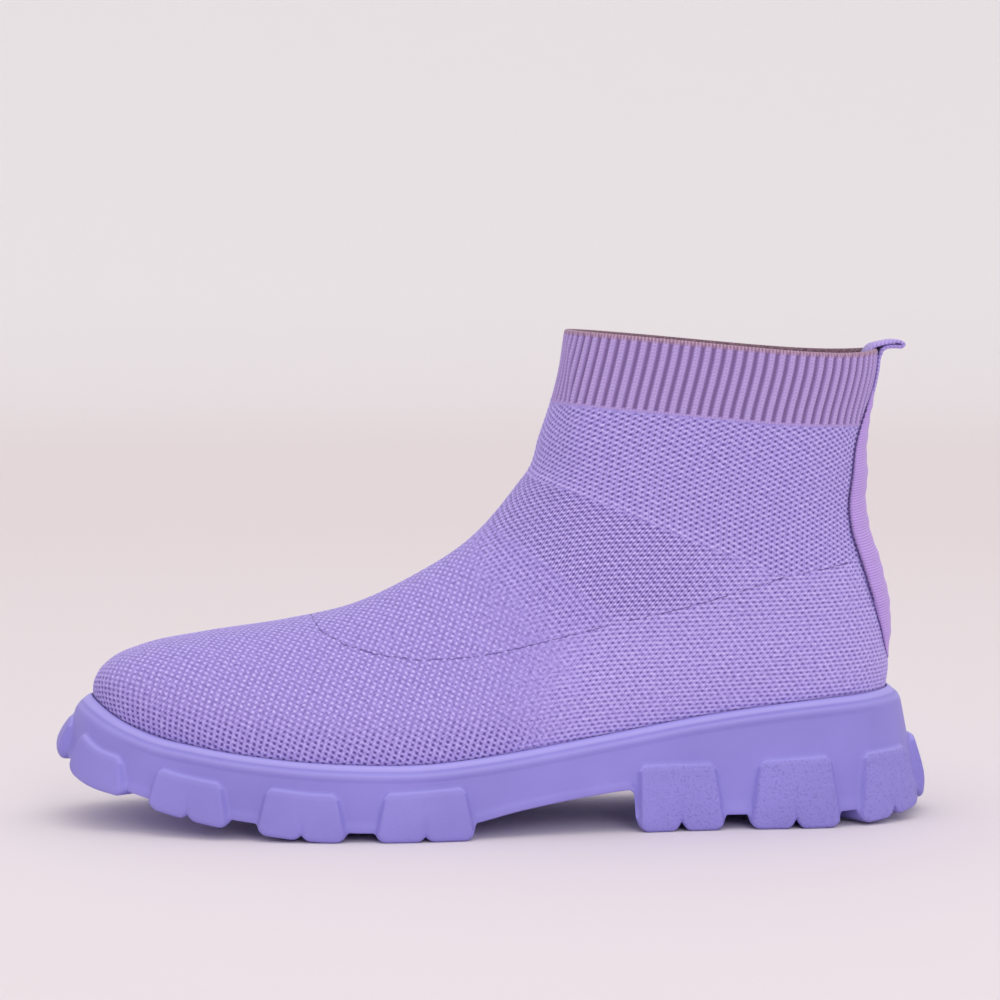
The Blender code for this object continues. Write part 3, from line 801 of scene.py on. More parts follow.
def knitParts(station, height, above, fromAnkle, fromQuarter, fromSeam):
    # how much of each part of the boot every place belongs to
    blend = knit["lineBlend"]
    upper = swell(fromSeam / knit["seamBlend"])
    shaft = swell(fromAnkle / blend + 0.5)
    quarter = swell(-fromAnkle / blend) * swell(fromQuarter / blend) * upper
    quarter = quarter * before(station, partEdges["quarterBack"])
    instep = swell(-fromQuarter / blend) * before(-fromQuarter, partEdges["instepLow"]) * upper
    instep = instep * past(station, partEdges["instepFront"]) * (1 - shaft)
    slanted = station - foreSlant * (height - foreSlantHeight)
    fore = before(slanted, partEdges["foreBack"]) * swell(0.5 - fromQuarter / blend)
    fore = fore * (1 - instep) * (1 - shaft)
    foreEdge = fore * before(above, partEdges["holesHigh"])
    return {
        "shaft": shaft,
        "heel": (1 - quarter) * (1 - instep) * (1 - fore) * (1 - shaft),
        "quarter": quarter * (1 - shaft) * (1 - fore),
        "instep": instep,
        "fore": fore - foreEdge,
        "foreEdge": foreEdge,
    }


def knitRelief(column, row, level, station, height):
    # how far each place stands out from the last, and what the material reads there
    above = height - featherHeight(station)
    lines = (ankleLine, quarterLine, vampLine)
    fromAnkle, fromQuarter, fromVamp = [alongLine(line, station, height)[0] for line in lines]
    fromSeam, run = alongLine(footSeam, station, height)
    shares = knitParts(station, height, above, fromAnkle, fromQuarter, fromSeam)
    plain = swell((1.0 - level) / knit["hemFade"])       # no holes under the cuff
    strength = sum(np.outer(shares[part], panelWeave[part]) for part in panelWeave) * plain[:, None]
    peaks, partTone = sum(np.outer(shares[part], partLook[part]) for part in partLook).T
    calm = 1 - knit["calm"] * past(station, partEdges["calmer"])
    shaft = shares["shaft"] * plain
    fore = (shares["fore"] * calm + knit["edgeWeave"] * shares["foreEdge"]) * plain
    flecks = (shares["fore"] * calm - knit["edgeHoles"] * shares["foreEdge"]) * plain

    def turned(u, v):
        return np.cos(2 * np.pi * (u * column + v * row))

    # the coarse waves shape the mesh, the fine ones only colour it
    wave = np.zeros(len(column))
    for k, (u, v) in enumerate(list(footWaves.values())[:3]):
        wave = wave - strength[:, k] * turned(u, v)
    for share, waves in ((shaft, shaftWaves[:3]), (fore, foreWaves[:2]), (-flecks, fleckWaves[:1])):
        for u, v, size in waves:
            wave = wave - share * size * turned(u, v)
    # light and dark rows along the lines, and the broken thread of the foot seam
    fade = before(station, partEdges["ankleFade"])
    light = lineRow("ankleLight", fromAnkle) * fade + lineRow("vampLight", fromVamp)
    dark = lineRow("ankleDark", fromAnkle) * fade
    dark = dark + lineRow("quarterDark", fromQuarter) * swell(fromSeam / 2.0 + 0.5)
    thread = lineRow("seamThread", fromSeam) * (0.62 + 0.38 * np.sin(2 * np.pi * run / knit["seamStitch"]))
    lift = np.clip(wave / knit["wholeWave"], -1.3, 1.2)
    relief = np.where(lift < 0, knit["pit"], knit["loop"]) * lift
    relief = relief - thread - dark - knit["hemDrop"] * swell((level - 1.0) / knit["hemStep"])
    values = {
        "column": column,
        "row": row,
        "shaft": shaft,
        "fore": fore,
        "flecks": flecks,
        "peaks": peaks,
        "tone": 0.5 + light - dark + partTone,
        "fromSeam": fromSeam,
        # painted shade where the knit meets the sole
        "edge": knit["edgeShade"] * swell(1 - (above + 0.1) / knit["edgeWide"]),
    }
    values.update(zip(footWaves, strength.T))
    return relief, values


def buildKnit():
    column, row, turn, level, faces = knitChart()
    onBothSides = ((turn <= 0.0) | (turn >= np.pi))[:, None]
    sides = (("knit_outer_side", -1, faces), ("knit_inner_side", 1, faces[:, ::-1]))

    def meeting(normals):
        # one shared normal where the two sides meet
        shared = unit(normals[0] + normals[1])
        return [np.where(onBothSides, shared, normal) for normal in normals]

    points, normals, meshes = [], [], []
    for _, side, order in sides:
        points.append(bodyPoint(level, turn, side))
        mesh = makeMesh("plain", points[-1], order)
        normals.append(vertexNormals(mesh))
        bpy.data.meshes.remove(mesh)
    for (name, _, order), place, normal in zip(sides, points, meeting(normals)):
        relief, values = knitRelief(column, row, level, place[:, 0], place[:, 2])
        mesh = makeMesh(name, place + normal * relief[:, None], order)
        for label, value in values.items():
            setAttribute(mesh, label, value)
        meshes.append(mesh)
    material = knitMaterial()
    shading = meeting([vertexNormals(mesh) for mesh in meshes])
    for (name, _, _), mesh, normal in zip(sides, meshes, shading):
        mesh.normals_split_custom_set_from_vertices(normal.tolist())
        addPiece(name, mesh, material, "upper")


buildKnit()

# Ribbed cuff with its rolled edge, knitted double so that the ribs show inside the collar too
cuff = {
    "ribs": 80,
    "perRib": 10,
    "samples": 500,
    "innerRows": 26,
    "ribDepth": 0.8,
    "insideDepth": 0.5,
    "rowStep": 0.34,
    "stitchPitch": 1.05,
    "stitchHeight": 0.24,
    "linkAt": 0.15,          # bright row of links where cuff and body join
    "linkHalf": 0.32,
    "linkHeight": 0.12,
    "roll": 0.9,
    "backRise": 1.5,         # the edge climbs towards the pull loop
    "rib": linear(172, 148, 210),
    "ribBright": linear(204, 181, 240),
    "valley": linear(134, 108, 160),
    "rim": linear(196, 162, 186),
    "rimDark": linear(130, 100, 128),
    "inside": linear(150, 120, 134),
    "insideDark": linear(92, 68, 82),
}


def cuffMaterial():
    finish = Finish("ribbed_cuff", 0.9, sheen=0.15, specular=0.2)
    fuzz = finish.noise(1900.0, 2.0)
    tone = finish.math("MULTIPLY_ADD", fuzz, 0.3, finish.math("SUBTRACT", finish.attribute("rib"), 0.15))
    yarn = finish.ramp(tone, [(0.15, cuff["valley"]), (0.6, cuff["rib"]), (1.0, cuff["ribBright"])])
    dark = finish.math("MULTIPLY", finish.math("SUBTRACT", 1.0, finish.attribute("stitch")), 0.55)
    yarn = finish.mix(dark, yarn, cuff["valley"])
    rim = finish.mix(finish.attribute("bead"), cuff["rimDark"], cuff["rim"])
    yarn = finish.mix(finish.attribute("rim"), yarn, rim)
    weave = finish.ramp(fuzz, [(0.35, cuff["insideDark"]), (0.65, cuff["inside"])])
    finish.colour(finish.mix(finish.attribute("inside"), yarn, weave))
    finish.normal(finish.bump(fuzz, 0.00012, 0.5))
    return finish.material


def buildCuff():
    columns = cuff["ribs"] * cuff["perRib"]
    turns = np.linspace(0.0, np.pi, cuff["samples"])

    def evenRing(share):
        # points round the cuff at one height, at equal distances, and the turn of each
        lines = [cuffPoint(share, turns, side) for side in (-1, 1)]
        outerRun, innerRun = [runAlong(line) for line in lines]
        girth = outerRun[-1] + innerRun[-1]
        run = girth * np.arange(columns) / columns
        outer = np.stack([np.interp(run, outerRun, part) for part in (*lines[0].T, turns)], axis=1)
        inner = np.stack([np.interp(girth - run, innerRun, part) for part in (*lines[1].T, turns)], axis=1)
        return np.where((run <= outerRun[-1])[:, None], outer, inner), girth

    phase = np.arange(columns) % cuff["perRib"] / cuff["perRib"]
    offValley = np.minimum(phase, 1 - phase)
    middle = np.exp(-((phase - 0.5) / 0.07) ** 2)
    ridge = swell((offValley - 0.08) / 0.2) * (1 - 0.22 * middle)
    crown = 0.45 * ridge + 0.55 * (0.5 - 0.5 * np.cos(2 * np.pi * phase))

    def ring(share):
        points, _ = evenRing(share)
        climb = cuff["backRise"] * np.exp(-((points[:, 3] - np.pi) / 0.5) ** 2)
        return points[:, :3] + np.outer(climb * max(share, 0.0) ** 4, (0.0, 0.0, 1.0))

    def pushed(points, distance):
        run = np.roll(points, -1, axis=0) - np.roll(points, 1, axis=0)
        normal = unit(np.stack([run[:, 1], -run[:, 0], np.zeros(columns)], axis=1))
        return points + normal * np.reshape(distance, (-1, 1))

    _, girth = evenRing(0.5)
    print("cuff girth", round(girth, 1), "mm, rib pitch", round(girth / cuff["ribs"], 2), "mm")
    rows = []      # points, then rib, stitch, rim, inside and bead for the colours
    one = np.ones(columns)
    tall = last["collarBack"] - last["cuffBack"]
    rollShare = cuff["roll"] / tall
    bead = 0.5 + 0.5 * np.cos(6 * np.pi * phase)
    count = int((tall - cuff["roll"]) / cuff["rowStep"])
    for k in range(count + 1):
        share = -0.02 + (1 - rollShare + 0.02) * k / count
        rise = share * tall
        link = math.exp(-((rise - cuff["linkAt"]) / cuff["linkHalf"]) ** 2)
        grow = float(swell((rise - 0.3) / 0.6))
        top = float(swell((rise - tall + cuff["roll"] + 0.9) / 0.8))
        knot = 0.5 + 0.5 * np.cos(2 * np.pi * (rise / cuff["stitchPitch"] + 1.4 * np.abs(phase - 0.5)))
        depth = -cuff["ribDepth"] * (1 - ridge) * grow + cuff["stitchHeight"] * (knot - 0.5) * (0.3 + ridge)
        depth = depth * (1 - 0.5 * top) + link * (cuff["linkHeight"] + 0.15 * bead) - swell(-rise / 0.35)
        ladder = 0.5 - 0.5 * np.cos(2 * np.pi * rise / cuff["stitchPitch"])
        tone = crown * grow + (1 - grow) * 0.4 + 0.16 * ladder * (1 - ridge)
        tone = tone * (1 - link) + link * (0.6 + 0.4 * bead)
        shade = 1 - ((1 - knot) * ridge * 0.5 + middle * ladder * 0.6) * grow * (1 - top)
        rows.append((pushed(ring(share), depth), tone, shade, 0.8 * top * one, 0 * one, bead))
    edge = ring(1 - rollShare)
    for angle in np.radians((18, 40, 65, 90, 115, 140, 162)):
        inward = -cuff["roll"] * (1 - math.cos(angle)) - 0.25 * (1 - ridge)
        lifted = pushed(edge, inward) + (0.0, 0.0, cuff["roll"] * math.sin(angle))
        rows.append((lifted, ridge, one, one, one * swell((angle - 1.2) / 1.0), bead))
    for t in np.linspace(0.0, 1.0, cuff["innerRows"] + 1):
        share = (1 - rollShare) * (1 - t) - 0.06 * t
        depth = -last["wall"] - cuff["insideDepth"] * ridge
        rows.append((pushed(ring(share), depth), ridge, one, 0 * one, one, one))
    points = np.concatenate([r[0] for r in rows])
    mesh = makeMesh("cuff", points, gridFaces(len(rows), columns, closed=True))
    for k, name in enumerate(("rib", "stitch", "rim", "inside", "bead")):
        setAttribute(mesh, name, np.concatenate([r[k + 1] for r in rows]))
    addPiece("ribbed_cuff", mesh, cuffMaterial(), "upper")


buildCuff()

# Plain lining inside the foot and shaft
lining = {"columns": 144, "rows": 40, "light": linear(150, 128, 152), "dark": linear(104, 84, 104)}


def buildLining():
    half = lining["columns"] // 2
    turns = np.pi * np.arange(half + 1) / half
    levels = np.linspace(-tuckLevel, 1.0, lining["rows"])
    outer = bodyPoint(levels[:, None], turns[None, :], -1)
    inner = bodyPoint(levels[:, None], turns[None, :], 1)
    rings = np.concatenate([outer, inner[:, -2:0:-1]], axis=1)
    faces = gridFaces(lining["rows"], lining["columns"], closed=True)
    mesh = makeMesh("plain", rings, faces)
    rings = rings.reshape(-1, 3) - vertexNormals(mesh) * (last["wall"] - 0.1)
    bpy.data.meshes.remove(mesh)
    cloth = brushedCloth("taupe_lining", 0.93, 0.2, 1500.0, 0.5, lining)
    addPiece("lining", makeMesh("lining", rings, faces[:, ::-1]), cloth, "upper")


buildLining()

# Moulded sole: columns of points run up the wall, closer together over the edges of each lug
sole = {
    "cupDepth": 4.0,
    "lugProud": 3.2,
    "lugProudTop": 2.0,
    "endProudTop": 0.7,      # the lugs at toe and heel run out into the wall and curl under
    "endCurve": 2.2,
    "sideLugs": 0.78,        # the lugs along the sides stand out less than those at the ends
    "lugReach": 24.0,
    "lugReachShare": 0.6,
    "innerSlope": 2.0,
    "taper": 3.0,            # how far the sides of a lug lean in between the ground and its top
    "breastTaper": 0.4,      # the front of the heel stands nearly upright
    "topCorner": 2.6,
    "skirtOut": 0.7,         # the soft edge round a lug's face, outside and inside its outline
    "skirtIn": 1.0,
    "footCorner": 3.4,
    "footCornerLift": 2.2,
    "notchHalf": 3.2,
    "foreNotch": 1.5,
    "heelNotch": 2.8,
    "crease": 0.35,
    "round": 1.4,
    "partingStep": 0.45,
    "heelSlot": 4.6,
    "breastFillet": 1.8,
    "breastSkew": 13.0,      # the front of the heel lies further back on the inner side
    "breastHollow": 9.0,
    "breastRun": 14.0,       # the wall's foot drops to the heel's over this girth
    "breastFore": (150.0, 50.0),     # girths between which skew and hollow show
    "breastAft": (275.0, 60.0),
    "endLug": (16.0, 7.0),           # girth of the lugs round toe and heel
    "toePlain": (40.0, 24.0),        # stations where the bead and the ledge run together
    "heelPlain": (248.0, 16.0),
    "heelTuck": 0.8,                 # the rim follows the knit, which curves in at the heel
    "grainFrom": (175.0, 20.0),      # the pebbled grain is strongest on the heel
    "grainFore": 0.15,
    "toeSpine": 45.0,
    "heelSpine": 33.0,
    "colour": linear(149, 140, 221),
    "shade": linear(140, 131, 210),
    # colour of the painted highlight on the upward crests
    "crestHighlight": linear(184, 176, 246),
    "pitShadeColour": linear(104, 90, 168),
}
# station, ledge scale, flare at the foot, top of the lugs, ground under them, underside between them
wallTable = np.array([
    (4, 1.50, 9.3, 33.0, 20.2, 22.4), (10, 1.45, 8.8, 27.4, 15.0, 17.2), (22, 1.20, 7.0, 23.2, 11.0, 13.2),
    (34, 1.10, 6.2, 20.2, 7.4, 10.0), (50, 1.00, 5.8, 17.9, 4.0, 7.0), (66, 1.00, 5.5, 16.3, 1.7, 4.9),
    (84, 1.00, 5.3, 15.0, 0.0, 3.2), (105, 1.00, 5.3, 15.3, 0.0, 2.9), (124, 1.00, 5.2, 16.2, 0.0, 4.0),
    (145, 1.00, 5.0, 17.5, 0.0, 8.3), (165, 1.00, 5.0, 19.5, 0.0, 11.6), (180, 1.00, 5.2, 20.8, 0.0, 13.3),
    (205, 1.00, 5.6, 21.0, 0.0, 13.3), (242, 1.05, 6.6, 22.5, 0.0, 13.3), (262, 1.05, 8.2, 23.0, 1.8, 13.3),
    (270, 1.05, 9.4, 23.4, 3.6, 13.3), (275, 1.05, 10.2, 25.0, 4.6, 13.3),
])
# girth of each lug's two sides; the toe and rear lugs are shared by both sides of the boot
lugTable = [
    (14.4, 38.5), (47.0, 74.6), (83.5, 111.8), (120.6, 151.9), (204.6, 232.0), (240.0, 269.2),
    (276.0, 302.0),
]
endLugHalf = 9.0
heelBreast = lugTable[4][0]
# welt from the wall up over the bead and the ledge: distance out from the feather, height against it
weltSteps = np.array([
    (3.90, -5.00), (4.06, -4.60), (4.18, -4.05), (4.20, -3.40), (4.10, -2.80), (3.88, -2.36), (3.52, -2.14),
    (3.18, -2.00), (3.02, -1.72), (2.96, -1.30), (2.80, -0.75), (2.40, -0.32), (1.75, -0.09), (0.90, 0.00),
])
# the same steps where bead and ledge run together, round the toe and the back of the heel
roundWelt = (3.90, 3.78, 3.60, 3.34, 3.04, 2.78, 2.62, 2.50, 2.28, 1.96, 1.52, 1.10, 0.80, 0.55)


def soleMaterial():
    finish = Finish("lilac_rubber", 0.5, specular=0.4)
    cloud = finish.noise(35.0, 3.0)
    plain = finish.ramp(cloud, [(0.3, sole["shade"]), (0.7, sole["colour"])])
    pebble = finish.noise(1250.0, 1.5)
    pits = finish.ramp(pebble, [(0.36, linear(255, 255, 255)), (0.44, linear(0, 0, 0))])
    grain = finish.attribute("pebble")
    # painted highlight on the upward crests of the welt and the lug tops
    plain = finish.mix(finish.attribute("crestHighlight"), plain, sole["crestHighlight"])
    # painted shade in the hollows of the pebbled grain: darker speckles where the bump dips
    pitShade = finish.math("MULTIPLY", pits, finish.math("MULTIPLY", grain, 0.3))
    finish.colour(finish.mix(pitShade, plain, sole["pitShadeColour"]))
    fine = finish.noise(1700.0, 2.0)
    skin = finish.bump(fine, 0.00006, 0.3)
    finish.normal(finish.bump(pebble, 0.0004, grain, skin))
    return finish.material


def soleColumns(length):
    # girths down one side, from the middle of the toe lug to the middle of the rear lug
    edge = np.array([-1.2, -0.8, -0.45, -0.15, 0.15, 0.45, 0.8, 1.2, 1.7, 2.3, 3.0])
    notch = np.array([-3.2, -2.4, -1.7, -1.1, -0.6, -0.25, 0.0, 0.25, 0.6, 1.1, 1.7, 2.4, 3.2])
    lugs = [(-endLugHalf, endLugHalf)] + lugTable + [(length - endLugHalf, length + endLugHalf)]
    places = []
    for start, end in lugs:
        middle = (start + end) / 2
        places += list(start + edge) + list(end - edge) + list(middle + notch)
        places += list(np.linspace(start + 3.0, middle - 3.2, 6))
        places += list(np.linspace(middle + 3.2, end - 3.0, 6))
    for (_, end), (start, _) in zip(lugs[:-1], lugs[1:]):
        places += list(np.linspace(end + 1.2, start - 1.2, 2 + int((start - end - 2.4) / 1.2)))
    places = np.unique(np.round(np.clip(places, 0.0, length), 3))
    return places[np.concatenate([[True], np.diff(places) > 0.05])], lugs


def soleSide(side, lateralLength):
    featherEdge, faceEdge = soleEdge(side, 0.0), soleEdge(side, faceLine)
    scale = featherEdge[-1, 3] / lateralLength
    girth, lugs = soleColumns(lateralLength)
    inside = np.max([np.minimum(girth - start, end - girth) for start, end in lugs], axis=0)
    fromNotch = np.min([np.abs(girth - (start + end) / 2) for start, end in lugs], axis=0)
    knots = [x for lug in lugs for x in lug]
    leans = [sole["taper"], -sole["taper"]] * len(lugs)
    leans[knots.index(heelBreast)] = sole["breastTaper"]
    lean = np.interp(girth, knots, leans)
    nearBreast = past(girth, sole["breastFore"]) * before(girth, sole["breastAft"])
    skew = (side > 0) * sole["breastSkew"] * nearBreast
    lug = swell((inside + 0.9) / 1.2)
    heel = girth >= heelBreast - 0.9
    corner = np.clip(1 - np.maximum(inside, 0.0) / sole["footCorner"], 0.0, 1.0)
    firstLug = (girth > endLugHalf) * (girth < lugTable[0][1])      # it has no notch
    fromNotch = fromNotch + 9.0 * firstLug
    notch = np.clip(1 - fromNotch / sole["notchHalf"], 0.0, 1.0) * (inside > 0)
    notchDepth = np.where(heel, sole["heelNotch"], sole["foreNotch"])
    lift = sole["footCornerLift"] * corner ** 2 + notchDepth * notch ** 2

    def place(out, shift):
        at = (girth + lean * shift + skew) * scale
        near, far = alongEdge(featherEdge, at), alongEdge(faceEdge, at)
        return near + (far - near) * np.reshape(out / faceLine, (-1, 1))

    station = np.interp(girth * scale, featherEdge[:, 3], featherEdge[:, 2])
    faceStation = np.interp(girth * scale, faceEdge[:, 3], faceEdge[:, 0])
    ledge, flare, lugTop, ground, rowBase = [read(wallTable, k, faceStation) for k in range(1, 6)]
    ground = np.maximum(ground, 0.0)
    fillet = sole["breastFillet"] * np.clip((girth - heelBreast + 2.8) / 2.0, 0.0, 1.0) ** 2
    base = np.where(heel, sole["heelSlot"] + 0.8 * ground, rowBase - fillet)
    heelward = swell((girth - heelBreast + sole["breastRun"]) / sole["breastRun"])
    flareBase = rowBase * (1 - heelward) + sole["heelSlot"] * heelward
    feather = featherHeight(station)
    wallTop = feather + weltSteps[0, 1]
    ends = before(girth, sole["endLug"]) + before(lateralLength - girth, sole["endLug"])
    tuckedIn = sole["heelTuck"] * past(station, sole["heelPlain"])
    standing = sole["sideLugs"] + (1 - sole["sideLugs"]) * ends
    plainWelt = before(station, sole["toePlain"]) + past(station, sole["heelPlain"])
    bottom = base + (ground + lift - base) * lug
    low = bottom + 2.8
    high = lugTop - 3.6

    def wallOut(height):
        drop = (wallTop - height) / (wallTop - flareBase)
        return weltSteps[0, 0] * ledge + (flare - weltSteps[0, 0] * ledge) * drop

    def skirt(height):
        # 1 on the face of a lug, falling to 0 round its outline, which has round top corners
        acrossEdge = sole["topCorner"] - inside
        upEdge = height - lugTop + sole["topCorner"]
        beyond = np.hypot(np.maximum(acrossEdge, 0), np.maximum(upEdge, 0))
        beyond = beyond + np.minimum(np.maximum(acrossEdge, upEdge), 0)
        return swell((sole["skirtOut"] - beyond + sole["topCorner"]) / (sole["skirtOut"] + sole["skirtIn"]))

    def proud(height):
        t = np.clip((height - bottom) / (lugTop - bottom), 0.0, 1.0)
        slim = sole["lugProud"] - sole["lugProudTop"]
        slim = slim + (sole["lugProudTop"] - sole["endProudTop"]) * ends * (girth < 60)
        full = sole["lugProud"] - slim * np.clip((t - 0.42) / 0.58, 0.0, 1.0) ** 1.5
        groove = sole["crease"] * np.exp(-(fromNotch / 0.9) ** 2) * swell(1 - (height - bottom) / 10.0)
        curve = 0.5 * (1 - ends) + sole["endCurve"] * ends
        return standing * (full - curve * np.clip((0.42 - t) / 0.42, 0.0, 1.0) ** 2) - groove

    rows = []      # points, how much of each is a lug's face, and how much painted highlight lies on the crests of ledge, bead and lug tops

    def addRow(out, height, shift, face, crestHighlight=0.0):
        points = np.column_stack([place(out, shift), height])
        rows.append((points, face, np.broadcast_to(crestHighlight, height.shape)))

    for h in (0.0, 0.12, 0.35, 0.75, 1.4, 2.3, 2.8):
        height = bottom + h
        curl = sole["round"] * (1 - math.sqrt(1 - max(0.0, 1 - h / sole["round"]) ** 2))
        step = sole["partingStep"] * (1 - swell((h - 2.25) / 0.6)) - 0.35 * math.exp(-h / 0.15)
        face = skirt(height)
        out = wallOut(height) + face * proud(height) - lug * curl + (1 - lug) * step
        addRow(out, height, np.clip((height - bottom) / (lugTop - bottom), 0.0, 1.0), face)
    heights = [low + (high - low) * t for t in (0.2, 0.4, 0.6, 0.8, 1.0)]
    heights += [high + t for t in (0.6, 1.1, 1.5, 1.9, 2.3, 2.6, 2.9, 3.2, 3.5, 3.8, 4.1, 4.4, 4.8)]
    top = heights[-1]
    heights += [top + (wallTop - top) * t for t in (0.25, 0.5, 0.75, 0.92)]
    for height in heights:
        face = skirt(height)
        shift = np.clip((height - bottom) / (lugTop - bottom), 0.0, 1.0)
        shift = shift * swell((wallTop - height) / np.maximum(wallTop - lugTop, 0.5))
        # painted highlight along the rounded top edge of each lug's face
        crestHighlight = 0.5 * band(face, 0.6, 0.3) * (height > lugTop - 2)
        addRow(wallOut(height) + face * proud(height), height, shift, face, crestHighlight)
    none = np.zeros_like(feather)
    for (out, rise), roundOut in zip(weltSteps, roundWelt):
        out = out * (1 - plainWelt) + roundOut * plainWelt - tuckedIn * swell((rise + 3.0) / 3.0)
        # painted highlight on the ledge top and the bead crest
        crestHighlight = 0.7 * swell((rise + 1.9) / 0.8) + 0.35 * band(rise, -2.8, 0.7)
        addRow(out * ledge, feather + rise, none, none, crestHighlight)
    for drop in (0.0, 0.5, sole["cupDepth"]):
        addRow(last["gap"] - tuckedIn, feather - drop, none, none)

    # underside: in from the foot of the wall, lugs first, then the plain middle
    outer = rows[0][0]
    hollow = sole["breastHollow"] * nearBreast
    spineFront, spineBack = last["toeTip"] + sole["toeSpine"], last["heelEnd"] - sole["heelSpine"]
    middle = np.clip(station + hollow, spineFront, spineBack)
    spine = np.column_stack([middle, footCentre(middle)])
    distance = np.linalg.norm(outer[:, :2] - spine, axis=1)
    reach = np.minimum(sole["lugReach"], distance * sole["lugReachShare"])
    under = []
    for share, slope in ((0.05, 0), (0.14, 0), (0.3, 0), (0.5, 0), (0.7, 0), (0.88, 0), (0.97, 0),
                         (1, 0.2), (1, 0.5), (1, 0.8), (1, 1)):
        runIn = reach * share + sole["innerSlope"] * slope
        plan = outer[:, :2] + (spine - outer[:, :2]) * (runIn / distance)[:, None]
        height = base + (bottom - base) * (1 - swell(slope))
        under.append((np.column_stack([plan, height]), none, none))
    return under[::-1] + rows


def buildSole():
    lateralLength = soleEdge(-1, 0.0)[-1, 3]
    outerRows = soleSide(-1, lateralLength)
    innerRows = soleSide(1, lateralLength)
    pairs = list(zip(outerRows, innerRows))

    def joined(k):
        return np.concatenate([np.concatenate([outer[k], inner[k][-2:0:-1]]) for outer, inner in pairs])

    points = joined(0)
    faces = filledFaces(len(pairs), len(points) // len(pairs))
    mesh = makeMesh("sole", points, outward(points, faces))
    heel = past(points[:, 0], sole["grainFrom"])
    setAttribute(mesh, "pebble", joined(1) * (sole["grainFore"] + (1 - sole["grainFore"]) * heel))
    setAttribute(mesh, "crestHighlight", joined(2))
    addPiece("lugged_sole", mesh, soleMaterial(), "sole")


buildSole()

# Insole: a soft pad with a shallow heel seat
insole = {
    "inset": 3.3,
    "thick": 4.2,
    "top": 0.6,
    "seat": 0.7,
    "columns": 90,
    "light": linear(150, 132, 156),
    "dark": linear(112, 94, 116),
}


def buildInsole():
    share = (1 - np.cos(np.linspace(0.0, np.pi, insole["columns"]))) / 2
    outline = []
    for side in (-1, 1):
        edge = soleEdge(side, -insole["inset"])
        girth = edge[:, 3] / edge[-1, 3]
        station, y, feather = [np.interp(share, girth, edge[:, k]) for k in range(3)]
        outline.append(np.stack([station, y, featherHeight(feather) + insole["top"]], axis=1))
    ring = np.concatenate([outline[0], outline[1][-2:0:-1]])
    middle = np.column_stack([ring[:, 0], footCentre(ring[:, 0]), featherHeight(ring[:, 0]) + insole["top"]])
    rows = [ring - (0, 0, insole["thick"]), ring - (0, 0, insole["seat"])]
    for t in (0.015, 0.05, 0.12, 0.25, 0.45, 0.7, 0.9):
        row = ring + (middle - ring) * t
        row[:, 2] = ring[:, 2] * (1 - t) + middle[:, 2] * t - insole["seat"] * swell(t / 0.6)
        rows.append(row)
    points = np.concatenate(rows)
    mesh = makeMesh("insole", points, outward(points, filledFaces(len(rows), len(ring))))
    cloth = brushedCloth("insole_fabric", 0.92, 0.15, 1100.0, 0.6, insole)
    addPiece("insole_pad", mesh, cloth, "insole")


buildInsole()

# Heel panel: ribbed elastic sewn over the back seam, with a dark row of stitches down each edge
panel = {
    "foot": 50.0,
    "top": 139.0,
    "thick": 1.0,
    "bulge": 0.4,
    "ribPitch": 0.85,
    "ribHeight": 0.07,
    "ribSlant": 1.6,         # how much lower a rib is at the panel's edge than at its middle
    "ripples": ((0.12, 2.1, 0.0), (0.10, 0.83, 1.0)),      # height, length and start of each
    "feathered": 12.0,       # length over which the foot of the panel thins away, and its top
    "featheredTop": 9.0,
    "columns": 18,
    "perRib": 4,
    "light": linear(196, 164, 236),
    "dark": linear(168, 136, 212),
    "stitchColour": linear(58, 38, 92),
    "stitchLight": linear(112, 88, 160),
    "stitchFoot": 70.0,
    "stitchTop": 131.0,
    "stitchPitch": 1.75,
    "stitchLong": 1.65,
    "stitchThick": 0.24,
}
# height, how far forward of the back line the edge runs
panelTable = np.array([
    (50, 1.0), (54, 2.4), (62, 4.6), (72, 6.8), (84, 7.6), (98, 7.2), (108, 6.4), (120, 4.4), (129, 2.3),
    (135, 0.8), (140, 0.3),
])


def panelRow(height, across, out):
    # points across the panel at one height, moved out from the knit
    reach = float(read(panelTable, 1, height))
    station = float(read(backTable, 1, height)) - reach * across ** 2
    _, half = upperSection(station, np.full_like(station, height))
    y = half * -np.sign(across)
    run = unit(np.stack([np.gradient(station), np.gradient(y)], axis=1))
    return np.stack([station + run[:, 1] * out, y - run[:, 0] * out, np.full_like(y, height)], axis=1)


def panelMaterial():
    finish = Finish("ribbed_elastic", 0.8, sheen=0.2, specular=0.3)
    fuzz = finish.noise(1600.0, 2.0)
    tone = finish.math("MULTIPLY_ADD", fuzz, 0.4, finish.math("SUBTRACT", finish.attribute("rib"), 0.2))
    finish.colour(finish.ramp(tone, [(0.1, panel["dark"]), (0.8, panel["light"])]))
    finish.normal(finish.bump(fuzz, 0.0001, 0.4))
    return finish.material


def stitchRow(name, points, ahead, away):
    # one small rounded stitch for each point, lying along the seam
    around = 2 * np.pi * np.arange(6) / 6
    rings = ((-1.0, 0.15), (-0.8, 0.7), (-0.3, 1.0), (0.3, 1.0), (0.8, 0.7), (1.0, 0.15))
    across = np.cross(ahead, away)
    parts, faces = [], []
    each = gridFaces(len(rings), len(around), closed=True)
    for k in range(len(points)):
        for along, thick in rings:
            for angle in around:
                offset = across[k] * math.cos(angle) + away[k] * math.sin(angle)
                lie = ahead[k] * along * panel["stitchLong"] / 2
                parts.append(points[k] + lie + offset * thick * panel["stitchThick"])
        faces.append(each + k * len(rings) * len(around))
    finish = Finish(name + "_thread", 0.7, sheen=0.1)
    twist = finish.noise(2500.0, 2.0)
    finish.colour(finish.mix(twist, panel["stitchColour"], panel["stitchLight"]))
    mesh = makeMesh(name, parts, np.concatenate(faces))
    addPiece(name, mesh, finish.material, "heel_panel")


